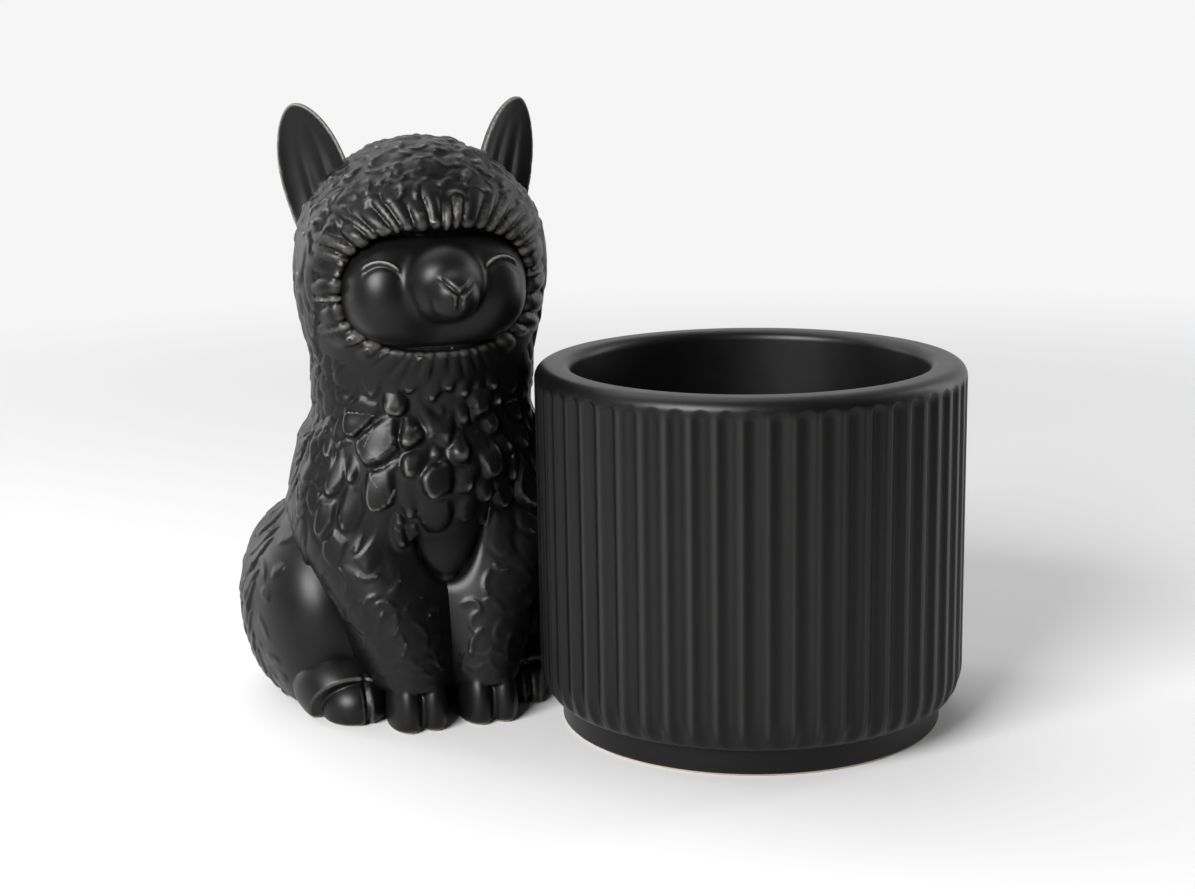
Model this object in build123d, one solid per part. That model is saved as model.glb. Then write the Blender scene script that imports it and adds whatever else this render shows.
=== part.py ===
"""Seated alpaca beside a fluted plant pot, in matt glazed stoneware.

The pot is one casting with a rubber stopper in its drain hole.
The alpaca is a hollow body casting to which the head, ears, legs and tail are luted with slip,
and its near haunch and hind foot are luted to the wall of the pot.
Millimetres, +Z up. The origin is the centre of the pot's foot, on the floor, and the front faces -Y.
Left and right are the animal's own.
"""

import os
from math import cos, radians, sin, sqrt

from build123d import *

# Shared clearances
SEAM = 0.2  # slip joint left between two luted castings
OVERRUN = 5.0  # how far a cutter runs past what it cuts

# Pot: a straight fluted wall on a narrower foot
POT_RADIUS = 65.0
POT_HEIGHT = 110.5
POT_WALL = 11.0  # leaves a bore for a 105 mm nursery pot
POT_FLOOR = 8.0
POT_CORNER_RADIUS = 8.0  # inside, between wall and floor
LIP_OUTER_RADIUS = 4.2
LIP_INNER_RADIUS = 3.0
FOOT_INSET = 6.7  # foot in from the wall
FOOT_HEIGHT = 8.2
FOOT_STEP = 1.4  # ledge over the foot
FOOT_RING_WIDTH = 7.0
FOOT_RECESS = 3.0
SHOULDER_HEIGHT = 11.0  # rounding between wall and ledge

# Flutes round the wall
FLUTE_COUNT = 56
FLUTE_WIDTH = 3.9
FLUTE_DEPTH = 1.1
FLUTE_TOP_GAP = 3.6  # from the rim to the arched end of a flute

# Drain hole and its stopper, which lifts out from inside
DRAIN_RADIUS = 8.0
PLUG_CLEARANCE = 0.06
PLUG_FLANGE_RADIUS = 12.0
PLUG_FLANGE_HEIGHT = 2.2
PLUG_KNOB_RADIUS = 4.2
PLUG_KNOB_HEIGHT = 4.0
PLUG_STEM_INSET = 1.0  # stem stops this far above the underside of the floor
PLUG_CHAMFER = 0.6
PLUG_KNOB_WAIST = 0.9  # groove under the knob for the fingers

# Alpaca: where it sits. The reference point lies on the floor between the fore hooves
FIGURE_TUCK = 15.2  # how far the body's flank overlaps the pot's side
FIGURE_Y = -4.8
FIGURE_YAW = 18.5  # degrees, turned towards the pot's front
CAST_WALL = 6.0
VENT_RADIUS = 5.0

# Body casting: chest, back and neck, lofted through ovals
BODY_WIDTH = 86.0
BODY_DEPTH = 92.0
BODY_HEIGHT = 122.0
BODY_FRONT_Y = 4.0  # behind the middle of the fore hooves
# height, shift forward, width and depth of each oval, as shares of the body's own sizes
BODY_SECTION_SHARES = (
    (0.00, 0.000, 0.92, 0.90),
    (0.16, 0.000, 1.00, 1.00),
    (0.36, 0.030, 0.98, 0.96),
    (0.56, 0.130, 0.90, 0.82),
    (0.74, 0.250, 0.78, 0.66),
    (0.88, 0.300, 0.78, 0.62),
    (1.00, 0.320, 0.79, 0.62),
)

# Head casting: woolly hood with a topknot over the brow, smooth face and muzzle
HEAD_TURN = -3.0  # degrees, the head against the body
HEAD_SHIFT = -0.6  # sideways
HOOD_WIDTH = 76.0
HOOD_DEPTH = 68.0
HOOD_HEIGHT = 82.0
HOOD_SETBACK = 15.0  # middle of the hood behind the body's front
HOOD_RISE = 14.5  # middle of the hood above the top of the neck
TOPKNOT_WIDTH = 74.0
TOPKNOT_DEPTH = 62.0
TOPKNOT_HEIGHT = 68.0
TOPKNOT_FORWARD = 5.0  # middle of the topknot in front of the hood's
TOPKNOT_DROP = 0.2  # top of the topknot below the crown
OPENING_WIDTH = 57.0  # of the gap in the topknot that leaves the face free
OPENING_HEIGHT = 36.0
OPENING_DROP = 2.9  # middle of the opening below the middle of the hood
FACE_WIDTH = 60.0
FACE_DEPTH = 40.0
FACE_HEIGHT = 40.0
FACE_PROUD = 3.5  # face in front of the hood
FACE_DROP = 2.5  # below the middle of the hood
MUZZLE_DIAMETER = 25.0
MUZZLE_PROUD = 10.0  # muzzle in front of the face
MUZZLE_DROP = 1.0  # below the middle of the hood
NOSE_DIAMETER = 13.0
NOSE_PROUD = 1.6  # nose in front of the muzzle

# Ears: leaf-shaped cups set into the hood
EAR_WIDTH = 19.0
EAR_THICKNESS = 9.0
EAR_LENGTH = 44.0
EAR_INSET = 2.0  # tip in from the hood's side
EAR_SETBACK = 11.0  # tip behind the middle of the hood
EAR_RISE = 11.3  # tip above the crown
EAR_LEAN = 17.0  # degrees outwards
EAR_TURN = 24.0  # degrees the cup faces outwards
EAR_HOLLOW_WIDTH = 13.0
EAR_HOLLOW_LENGTH = 32.0
EAR_HOLLOW_DEPTH = 3.2

# Forelegs: tapered columns that end in two-toed hooves
HOOF_SPACING = 22.4
HOOF_WIDTH = 18.6
HOOF_DEPTH = 21.0
HOOF_HEIGHT = 14.0
HOOF_STEP = 0.7  # fleece stands proud of the hoof
HOOF_SPLIT_WIDTH = 1.6
HOOF_SPLIT_DEPTH = 3.2
FORELEG_HEIGHT = 84.0
SHOULDER_INSET = 20.0  # top of the leg in from the body's side
SHOULDER_SETBACK = 16.0  # top of the leg behind the body's front
FORELEG_WIDTH = 31.0
FORELEG_DEPTH = 33.0
# height, way from hoof to shoulder, width and depth of each oval above the hoof
FORELEG_SECTION_SHARES = (
    (0.17, 0.08, 0.66, 0.68),
    (0.35, 0.25, 0.86, 0.86),
    (0.60, 0.55, 1.00, 1.00),
    (0.82, 0.85, 0.90, 0.90),
    (1.00, 1.00, 0.60, 0.60),
)

# Haunches: the folded thighs
HAUNCH_WIDTH = 44.5
HAUNCH_DEPTH = 74.0
HAUNCH_HEIGHT = 66.0
HAUNCH_INSET = 9.5  # middle of the thigh in from the body's side
HAUNCH_FORWARD = 2.0  # middle of the thigh in front of the body's middle
HAUNCH_LIFT = 29.0

# Hind feet: a smooth sock and a toe
SOCK_WIDTH = 25.0
SOCK_DEPTH = 30.0
SOCK_HEIGHT = 29.0
SOCK_INSET = 12.5
SOCK_SETBACK = 19.0
SOCK_LIFT = 7.0
TOE_WIDTH = 21.0
TOE_DEPTH = 23.0
TOE_HEIGHT = 19.0
TOE_INSET = 15.2
TOE_SETBACK = 9.0
TOE_LIFT = 4.5

# Tail: a short tuft on the rump
TAIL_WIDTH = 19.0
TAIL_DEPTH = 18.0
TAIL_HEIGHT = 30.0
TAIL_LIFT = 24.0

# Places that follow from the sizes above
POT_BORE_RADIUS = POT_RADIUS - POT_WALL
FOOT_RADIUS = POT_RADIUS - FOOT_INSET
BODY_SIDE_X = BODY_WIDTH / 2
BODY_CENTRE_Y = BODY_FRONT_Y + BODY_DEPTH / 2
FIGURE_X = FIGURE_TUCK - POT_RADIUS - BODY_SIDE_X
HOOD_CENTRE_Y = BODY_FRONT_Y + HOOD_SETBACK
HOOD_CENTRE_Z = BODY_HEIGHT + HOOD_RISE

RIGHT, LEFT = -1, 1


def ellipsoid(width, depth, height):
    """An egg shape whose surface seam runs down its back."""
    return scale(Rot(0, 0, 90) * Sphere(1), by=(width / 2, depth / 2, height / 2))


def oval(width, depth, x, y, z):
    return Pos(x, y, z) * scale(Circle(1), by=(width / 2, depth / 2, 1))


def whole(shape):
    """The main solid of a cut, without crumbs that the cutters left."""
    return max(shape.solids(), key=lambda solid: solid.volume)


def below_floor():
    size = POT_RADIUS + BODY_DEPTH + abs(FIGURE_X)
    return Pos(0, 0, -size / 2) * Box(2 * size, 2 * size, size)


def seat_in_figure(shape):
    """Moves a piece from the animal's own frame to the pot's."""
    return Location((FIGURE_X, FIGURE_Y, 0), (0, 0, FIGURE_YAW)) * shape


# Pot


def pot_profile():
    shoulder_z = FOOT_HEIGHT + SHOULDER_HEIGHT
    ledge_radius = FOOT_RADIUS + FOOT_STEP
    floor_top = FOOT_RECESS + POT_FLOOR
    ring_inner = FOOT_RADIUS - FOOT_RING_WIDTH
    bend = POT_RADIUS - ledge_radius
    turn = radians(60)
    shoulder_mid = (ledge_radius + bend * sin(turn), shoulder_z - SHOULDER_HEIGHT * cos(turn))
    slant = sqrt(0.5)
    lip_out = (POT_RADIUS - LIP_OUTER_RADIUS, POT_HEIGHT - LIP_OUTER_RADIUS)
    lip_in = (POT_BORE_RADIUS + LIP_INNER_RADIUS, POT_HEIGHT - LIP_INNER_RADIUS)
    corner = (POT_BORE_RADIUS - POT_CORNER_RADIUS, floor_top + POT_CORNER_RADIUS)
    with BuildLine() as line:
        Polyline(
            (DRAIN_RADIUS, floor_top),
            (DRAIN_RADIUS, FOOT_RECESS),
            (ring_inner, FOOT_RECESS),
            (ring_inner, 0),
            (FOOT_RADIUS, 0),
            (FOOT_RADIUS, FOOT_HEIGHT),
            (ledge_radius, FOOT_HEIGHT),
        )
        ThreePointArc((ledge_radius, FOOT_HEIGHT), shoulder_mid, (POT_RADIUS, shoulder_z))
        Line((POT_RADIUS, shoulder_z), (POT_RADIUS, lip_out[1]))
        ThreePointArc(
            (POT_RADIUS, lip_out[1]),
            (lip_out[0] + LIP_OUTER_RADIUS * slant, lip_out[1] + LIP_OUTER_RADIUS * slant),
            (lip_out[0], POT_HEIGHT),
        )
        Line((lip_out[0], POT_HEIGHT), (lip_in[0], POT_HEIGHT))
        ThreePointArc(
            (lip_in[0], POT_HEIGHT),
            (lip_in[0] - LIP_INNER_RADIUS * slant, lip_in[1] + LIP_INNER_RADIUS * slant),
            (POT_BORE_RADIUS, lip_in[1]),
        )
        Line((POT_BORE_RADIUS, lip_in[1]), (POT_BORE_RADIUS, corner[1]))
        ThreePointArc(
            (POT_BORE_RADIUS, corner[1]),
            (corner[0] + POT_CORNER_RADIUS * slant, corner[1] - POT_CORNER_RADIUS * slant),
            (corner[0], floor_top),
        )
        Line((corner[0], floor_top), (DRAIN_RADIUS, floor_top))
    return Plane.XZ * make_face(line.line.edges())


def flute_cutters():
    groove_radius = (FLUTE_WIDTH**2 / 4 + FLUTE_DEPTH**2) / (2 * FLUTE_DEPTH)
    top = POT_HEIGHT - FLUTE_TOP_GAP - FLUTE_WIDTH / 2
    bottom = FOOT_HEIGHT + FLUTE_DEPTH
    axis_radius = POT_RADIUS + groove_radius - FLUTE_DEPTH
    groove = Pos(0, 0, (top + bottom) / 2) * Cylinder(groove_radius, top - bottom)
    groove += Pos(0, 0, top) * Sphere(groove_radius)
    half_pitch = 180 / FLUTE_COUNT
    return [loc * groove for loc in PolarLocations(axis_radius, FLUTE_COUNT, half_pitch)]


def fluted_pot():
    body = revolve(pot_profile(), Axis.Z)
    return whole(body - flute_cutters())


def pot_envelope(grow):
    """The pot's outside with the flutes filled, for trimming what is luted against it."""
    return Pos(0, 0, POT_HEIGHT / 2) * Cylinder(POT_RADIUS + grow, POT_HEIGHT)


def drain_plug():
    floor_top = FOOT_RECESS + POT_FLOOR
    stem_bottom = FOOT_RECESS + PLUG_STEM_INSET
    stem_radius = DRAIN_RADIUS - PLUG_CLEARANCE
    flange_bottom = floor_top + PLUG_CLEARANCE
    flange_top = flange_bottom + PLUG_FLANGE_HEIGHT
    knob_top = flange_top + PLUG_KNOB_HEIGHT
    waist = PLUG_KNOB_RADIUS - PLUG_KNOB_WAIST
    outline = Polyline(
        (0, stem_bottom),
        (stem_radius - PLUG_CHAMFER, stem_bottom),
        (stem_radius, stem_bottom + PLUG_CHAMFER),
        (stem_radius, flange_bottom),
        (PLUG_FLANGE_RADIUS, flange_bottom),
        (PLUG_FLANGE_RADIUS, flange_top - PLUG_CHAMFER),
        (PLUG_FLANGE_RADIUS - PLUG_CHAMFER, flange_top),
        (waist, flange_top),
        (PLUG_KNOB_RADIUS, knob_top - 2 * PLUG_CHAMFER),
        (PLUG_KNOB_RADIUS - PLUG_CHAMFER, knob_top),
        (0, knob_top),
        (0, stem_bottom),
    )
    return whole(revolve(Plane.XZ * make_face(outline), Axis.Z))


# Alpaca


def body_form(grow):
    ovals = []
    for height, forward, width, depth in BODY_SECTION_SHARES:
        y = BODY_CENTRE_Y - forward * BODY_DEPTH
        size_x, size_y = width * BODY_WIDTH + 2 * grow, depth * BODY_DEPTH + 2 * grow
        ovals.append(oval(size_x, size_y, 0, y, height * BODY_HEIGHT))
    return loft(ovals)


def body_casting():
    floor_cut = Pos(0, 0, -BODY_HEIGHT / 2 + CAST_WALL) * Box(2 * BODY_WIDTH, 4 * BODY_DEPTH, BODY_HEIGHT)
    hollow = body_form(-CAST_WALL) - floor_cut
    vent = Pos(0, BODY_CENTRE_Y, CAST_WALL / 2) * Cylinder(VENT_RADIUS, CAST_WALL + OVERRUN)
    return whole(body_form(0) - hollow - vent)


def hood_form(grow):
    hood = ellipsoid(HOOD_WIDTH + 2 * grow, HOOD_DEPTH + 2 * grow, HOOD_HEIGHT + 2 * grow)
    return Pos(0, HOOD_CENTRE_Y, HOOD_CENTRE_Z) * hood


def topknot_form(grow):
    """The thick fleece that hangs forward over the brow, before the face is cut free."""
    tuft = ellipsoid(TOPKNOT_WIDTH + 2 * grow, TOPKNOT_DEPTH + 2 * grow, TOPKNOT_HEIGHT + 2 * grow)
    top_z = HOOD_CENTRE_Z + HOOD_HEIGHT / 2 - TOPKNOT_DROP
    return Pos(0, HOOD_CENTRE_Y - TOPKNOT_FORWARD, top_z - TOPKNOT_HEIGHT / 2) * tuft


def face_opening():
    window = SlotOverall(OPENING_WIDTH, OPENING_HEIGHT)
    through = extrude(Plane.XZ * window, HOOD_DEPTH)
    return Pos(0, HOOD_CENTRE_Y, HOOD_CENTRE_Z - OPENING_DROP) * through


def face_front_y():
    return HOOD_CENTRE_Y - HOOD_DEPTH / 2 - FACE_PROUD


def seat_on_neck(shape):
    """Turns a piece of the head about the middle of the hood."""
    turn = Pos(HEAD_SHIFT, HOOD_CENTRE_Y, 0) * Rot(0, 0, HEAD_TURN) * Pos(0, -HOOD_CENTRE_Y, 0)
    return turn * shape


def head_casting():
    face_y = face_front_y() + FACE_DEPTH / 2
    muzzle_y = face_front_y() - MUZZLE_PROUD + MUZZLE_DIAMETER / 2
    nose_y = face_front_y() - MUZZLE_PROUD - NOSE_PROUD + NOSE_DIAMETER / 2
    muzzle_z = HOOD_CENTRE_Z - MUZZLE_DROP
    facing_front = Rot(90, 0, 0)
    muzzle = Pos(0, muzzle_y, muzzle_z) * facing_front * Sphere(MUZZLE_DIAMETER / 2)
    muzzle += Pos(0, nose_y, muzzle_z) * facing_front * Sphere(NOSE_DIAMETER / 2)
    face = Pos(0, face_y, HOOD_CENTRE_Z - FACE_DROP) * ellipsoid(FACE_WIDTH, FACE_DEPTH, FACE_HEIGHT)
    fleece = hood_form(0) + (topknot_form(0) - face_opening())
    shell = fleece + (face + muzzle) - hood_form(-CAST_WALL)
    return whole(seat_on_neck(shell) - body_form(SEAM))


def ear(side):
    cup = ellipsoid(EAR_WIDTH, EAR_THICKNESS, EAR_LENGTH)
    hollow = ellipsoid(EAR_HOLLOW_WIDTH, 2 * EAR_HOLLOW_DEPTH, EAR_HOLLOW_LENGTH)
    cup -= Pos(0, -EAR_THICKNESS / 2, (EAR_LENGTH - EAR_HOLLOW_LENGTH) / 4) * hollow
    cup = Pos(0, 0, -EAR_LENGTH / 2) * cup
    tip_x = HOOD_WIDTH / 2 - EAR_INSET
    tip_z = HOOD_CENTRE_Z + HOOD_HEIGHT / 2 + EAR_RISE
    tip = Pos(side * tip_x, HOOD_CENTRE_Y + EAR_SETBACK, tip_z)
    leaf = tip * Rot(0, side * EAR_LEAN, side * EAR_TURN) * cup
    return whole(seat_on_neck(leaf - hood_form(SEAM) - topknot_form(SEAM)))


def foreleg_form(side, grow):
    ovals = []
    hoof_x = HOOF_SPACING / 2
    shoulder_x = BODY_SIDE_X - SHOULDER_INSET
    shoulder_y = BODY_FRONT_Y + SHOULDER_SETBACK
    for height, way, width, depth in FORELEG_SECTION_SHARES:
        x = hoof_x + way * (shoulder_x - hoof_x)
        size_x, size_y = width * FORELEG_WIDTH + 2 * grow, depth * FORELEG_DEPTH + 2 * grow
        ovals.append(oval(size_x, size_y, side * x, way * shoulder_y, height * FORELEG_HEIGHT))
    return loft(ovals)


def hoof(side):
    hoof_x = side * HOOF_SPACING / 2
    flat = oval(HOOF_WIDTH, HOOF_DEPTH, hoof_x, 0, 0)
    block = extrude(flat, HOOF_HEIGHT + HOOF_STEP)
    split = Pos(hoof_x, -HOOF_DEPTH / 2, HOOF_HEIGHT / 2)
    return block - split * Box(HOOF_SPLIT_WIDTH, 2 * HOOF_SPLIT_DEPTH, HOOF_HEIGHT)


def foreleg(side):
    leg = foreleg_form(side, 0) + hoof(side)
    return whole(leg - body_form(SEAM) - haunch_form(side, SEAM))


def haunch_form(side, grow):
    thigh = ellipsoid(HAUNCH_WIDTH + 2 * grow, HAUNCH_DEPTH + 2 * grow, HAUNCH_HEIGHT + 2 * grow)
    return Pos(side * (BODY_SIDE_X - HAUNCH_INSET), BODY_CENTRE_Y - HAUNCH_FORWARD, HAUNCH_LIFT) * thigh


def haunch(side):
    return whole(haunch_form(side, 0) - body_form(SEAM) - below_floor())


def hind_foot(side):
    sock_at = Pos(side * (BODY_SIDE_X - SOCK_INSET), BODY_FRONT_Y + SOCK_SETBACK, SOCK_LIFT)
    toe_at = Pos(side * (BODY_SIDE_X - TOE_INSET), BODY_FRONT_Y + TOE_SETBACK, TOE_LIFT)
    foot = sock_at * ellipsoid(SOCK_WIDTH, SOCK_DEPTH, SOCK_HEIGHT)
    foot += toe_at * ellipsoid(TOE_WIDTH, TOE_DEPTH, TOE_HEIGHT)
    foot = foot - below_floor() - body_form(SEAM) - haunch_form(side, SEAM)
    return whole(foot - foreleg_form(side, SEAM))


def tail():
    tuft = Pos(0, BODY_FRONT_Y + BODY_DEPTH, TAIL_LIFT) * ellipsoid(TAIL_WIDTH, TAIL_DEPTH, TAIL_HEIGHT)
    return whole(tuft - body_form(SEAM))


def pieces():
    yield "fluted_pot", fluted_pot()
    yield "drain_plug", drain_plug()
    yield "body_casting", seat_in_figure(body_casting())
    yield "head_casting", seat_in_figure(head_casting())
    yield "tail", seat_in_figure(tail())
    for name, side in (("right", RIGHT), ("left", LEFT)):
        yield f"{name}_ear", seat_in_figure(ear(side))
        for part, shape in (("foreleg", foreleg), ("haunch", haunch), ("hind_foot", hind_foot)):
            yield f"{name}_{part}", whole(seat_in_figure(shape(side)) - pot_envelope(SEAM))


os.makedirs("parts", exist_ok=True)
for node, solid in pieces():
    export_step(solid, f"parts/{node}.step")
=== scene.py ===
"""Seated alpaca beside a fluted plant pot, in matt black glazed stoneware.

The sections follow the planter as it is put together: the pot, its stopper, then the figure's castings,
which are luted to each other and to the pot's side. Lengths are millimetres until a mesh is made in metres.
"""

from dataclasses import dataclass
from math import cos, radians, sin, tau

import bmesh
import bpy
import numpy as np
import openvdb
from mathutils import Matrix, Vector, kdtree


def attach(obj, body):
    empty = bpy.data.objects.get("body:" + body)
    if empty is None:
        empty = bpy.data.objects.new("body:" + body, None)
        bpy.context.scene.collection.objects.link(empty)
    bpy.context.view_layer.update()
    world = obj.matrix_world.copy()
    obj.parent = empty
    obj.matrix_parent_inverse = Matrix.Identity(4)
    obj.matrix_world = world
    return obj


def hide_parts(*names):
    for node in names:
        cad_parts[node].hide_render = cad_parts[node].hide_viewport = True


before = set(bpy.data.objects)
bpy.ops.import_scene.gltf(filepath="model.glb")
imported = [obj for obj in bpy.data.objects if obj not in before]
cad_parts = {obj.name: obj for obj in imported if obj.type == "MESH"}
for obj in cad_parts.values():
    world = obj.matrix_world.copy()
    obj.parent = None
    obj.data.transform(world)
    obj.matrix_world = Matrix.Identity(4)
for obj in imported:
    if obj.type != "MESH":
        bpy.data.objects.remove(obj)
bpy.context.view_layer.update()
MM = 0.001


# Camera
# It looks down a little over the pot's rim, from in front of the gap between figure and pot.

CAMERA_PLACE = (-46.22, -607.9, 216.1)
CAMERA_TILT = 77.737  # degrees up from straight down
CAMERA_ROLL = -1.011
CAMERA_LENS = 61.62  # on a sensor 36 mm wide

lens = bpy.data.cameras.new("camera")
lens.lens = CAMERA_LENS
camera = bpy.data.objects.new("camera", lens)
bpy.context.scene.collection.objects.link(camera)
camera.matrix_world = (
    Matrix.Translation(Vector(CAMERA_PLACE) * MM)
    @ Matrix.Rotation(radians(CAMERA_TILT), 4, "X")
    @ Matrix.Rotation(radians(CAMERA_ROLL), 4, "Z")
)
bpy.context.scene.camera = camera


# Fluted pot
# Slip-cast stoneware with 56 shallow flutes, a rounded lip and a narrower foot.
# Its black glaze is wiped off the foot ring, so that a line of bare clay shows where it stands.

POT_RADIUS = 65.0
POT_HEIGHT = 110.5
POT_WALL = 11.0
POT_FLOOR = 8.0
POT_CORNER_RADIUS = 8.0
LIP_OUTER_RADIUS = 4.2
LIP_INNER_RADIUS = 3.0
FOOT_RADIUS = 58.3
FOOT_HEIGHT = 8.2
FOOT_STEP = 1.4
FOOT_RING_WIDTH = 7.0
FOOT_RECESS = 3.0
SHOULDER_HEIGHT = 11.0
FLUTE_COUNT = 56
FLUTE_WIDTH = 5.5
FLUTE_DEPTH = 1.15
FLUTE_TOP_GAP = 3.2
FLUTE_RUNOUT = (0.8, 4.5)  # heights over the foot between which the flutes run out
FLUTE_ARCH_ROOM = 5.0  # under the lip, where the flutes end in arches
FLUTE_SOFTNESS = 0.3  # how far the glaze rounds a flute's edge, as a share of its depth
COLUMNS_PER_FLUTE = 14
DRAIN_RADIUS = 8.0
EDGE_RADIUS = 0.8
CLAY_LINE = 0.55  # height of bare clay above the floor
RIDGE_HIGHLIGHT_HALF_WIDTH = 0.6  # half width of the painted highlight along a flute ridge
# strength of the painted highlight on the flute ridges, as a share of the light grey
RIDGE_HIGHLIGHT = 0.07


def add(tree, kind, links=None, **settings):
    """Adds a node with its settings, and with the sockets or values that feed it."""
    node = tree.nodes.new(kind)
    for name, value in settings.items():
        setattr(node, name, value)
    for socket, source in (links or {}).items():
        if isinstance(source, bpy.types.NodeSocket):
            tree.links.new(source, node.inputs[socket])
        else:
            node.inputs[socket].default_value = source
    return node


def linear(code):
    """Linear colour of an sRGB hex code."""
    shares = [int(code[i : i + 2], 16) / 255 for i in (1, 3, 5)]
    return [s / 12.92 if s <= 0.04045 else ((s + 0.055) / 1.055) ** 2.4 for s in shares] + [1.0]


def black_glaze():
    """Matt black stoneware glaze: a dense black, faintly mottled, with a fine dry grain. Raised edges are
    painted a lighter grey, partly where the glaze runs off them and thins, partly as a painted highlight.
    Bare buff clay shows at the very foot."""
    material = bpy.data.materials.new("matt_black_glaze")
    material.use_nodes = True
    tree = material.node_tree
    shader = tree.nodes["Principled BSDF"]
    shader.inputs["IOR"].default_value = 1.45
    shader.inputs["Specular IOR Level"].default_value = 0.27
    place = add(tree, "ShaderNodeTexCoord").outputs["Object"]
    height = add(tree, "ShaderNodeSeparateXYZ", {0: place}).outputs["Z"]
    mottle = add(tree, "ShaderNodeTexNoise", {"Vector": place, "Scale": 1 / (9 * MM), "Detail": 4.0})
    grain = add(tree, "ShaderNodeTexNoise", {"Vector": place, "Scale": 1 / (0.5 * MM), "Detail": 2.0})
    glaze_thinning_and_highlight = add(tree, "ShaderNodeAttribute", attribute_name="thin_glaze_and_painted_highlight").outputs["Fac"]
    shade = add(
        tree,
        "ShaderNodeMix",
        {"Factor": mottle.outputs["Fac"], "A": linear("#040404"), "B": linear("#080808")},
        data_type="RGBA",
    )
    # The light grey #77746f on raised edges is partly glaze running off and thinning, partly a painted
    # highlight.
    glaze = add(
        tree,
        "ShaderNodeMix",
        {"Factor": glaze_thinning_and_highlight, "A": shade.outputs["Result"], "B": linear("#77746f")},
        data_type="RGBA",
    )
    bare = add(
        tree,
        "ShaderNodeMapRange",
        {"Value": height, "From Min": (CLAY_LINE + 0.15) * MM, "From Max": (CLAY_LINE - 0.15) * MM},
    )
    colour = add(
        tree,
        "ShaderNodeMix",
        {"Factor": bare.outputs["Result"], "A": glaze.outputs["Result"], "B": linear("#b7ab9a")},
        data_type="RGBA",
    )
    dry = add(
        tree,
        "ShaderNodeMapRange",
        {"Value": mottle.outputs["Fac"], "To Min": 0.36, "To Max": 0.44},
    )
    bump = add(
        tree,
        "ShaderNodeBump",
        {"Strength": 0.12, "Distance": 0.05 * MM, "Height": grain.outputs["Fac"]},
    )
    tree.links.new(colour.outputs["Result"], shader.inputs["Base Color"])
    tree.links.new(dry.outputs["Result"], shader.inputs["Roughness"])
    tree.links.new(bump.outputs["Normal"], shader.inputs["Normal"])
    return material


def arc(centre, radii, start, end, steps, share=0.0):
    """Points of the profile round a corner: radius, flute share and height. Angles in degrees."""
    points = []
    for step in range(steps + 1):
        angle = radians(start + (end - start) * step / steps)
        points.append((centre[0] + radii[0] * cos(angle), share, centre[1] + radii[1] * sin(angle)))
    return points


def pot_profile():
    """Section of the pot, once round from the drain hole: radius, share of the flute depth, height."""
    bore = POT_RADIUS - POT_WALL
    floor_top = FOOT_RECESS + POT_FLOOR
    ring_inner = FOOT_RADIUS - FOOT_RING_WIDTH
    ledge = FOOT_RADIUS + FOOT_STEP
    shoulder_z = FOOT_HEIGHT + SHOULDER_HEIGHT
    bend = POT_RADIUS - ledge
    lip_z = POT_HEIGHT - LIP_OUTER_RADIUS
    edge = (EDGE_RADIUS, EDGE_RADIUS)
    step = (FOOT_STEP / 2, FOOT_STEP / 2)
    corner = (POT_CORNER_RADIUS, POT_CORNER_RADIUS)
    outer_lip = (LIP_OUTER_RADIUS, LIP_OUTER_RADIUS)
    inner_lip = (LIP_INNER_RADIUS, LIP_INNER_RADIUS)
    profile = arc((DRAIN_RADIUS + EDGE_RADIUS, FOOT_RECESS + EDGE_RADIUS), edge, 180, 270, 4)
    profile += arc((ring_inner - EDGE_RADIUS, FOOT_RECESS - EDGE_RADIUS), edge, 90, 0, 4)
    profile += arc((ring_inner + EDGE_RADIUS, EDGE_RADIUS), edge, 180, 270, 4)
    profile += arc((FOOT_RADIUS - EDGE_RADIUS, EDGE_RADIUS), edge, 270, 360, 5)
    profile += arc((FOOT_RADIUS + step[0], FOOT_HEIGHT - step[1]), step, 180, 90, 4)
    shoulder = arc((ledge, shoulder_z), (bend, SHOULDER_HEIGHT), -90, 0, 14)
    fade_from, fade_to = (FOOT_HEIGHT + rise for rise in FLUTE_RUNOUT)
    for radius, _, z in shoulder:
        share = min(max((z - fade_from) / (fade_to - fade_from), 0.0), 1.0)
        profile.append((radius, share * share * (3 - 2 * share), z))
    plain_wall = np.linspace(shoulder_z, lip_z - FLUTE_ARCH_ROOM, 9)[1:]
    arched_wall = np.linspace(lip_z - FLUTE_ARCH_ROOM, lip_z, 12)[1:-1]
    profile += [(POT_RADIUS, 1.0, float(z)) for z in np.concatenate([plain_wall, arched_wall])]
    profile += arc((POT_RADIUS - LIP_OUTER_RADIUS, lip_z), outer_lip, 0, 90, 12, share=1.0)
    profile += arc((bore + LIP_INNER_RADIUS, POT_HEIGHT - LIP_INNER_RADIUS), inner_lip, 90, 180, 8)
    profile += arc((bore - POT_CORNER_RADIUS, floor_top + POT_CORNER_RADIUS), corner, 0, -90, 8)
    profile += arc((DRAIN_RADIUS + EDGE_RADIUS, floor_top - EDGE_RADIUS), edge, 90, 180, 4)
    profile.append(profile[0])
    return profile


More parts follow.
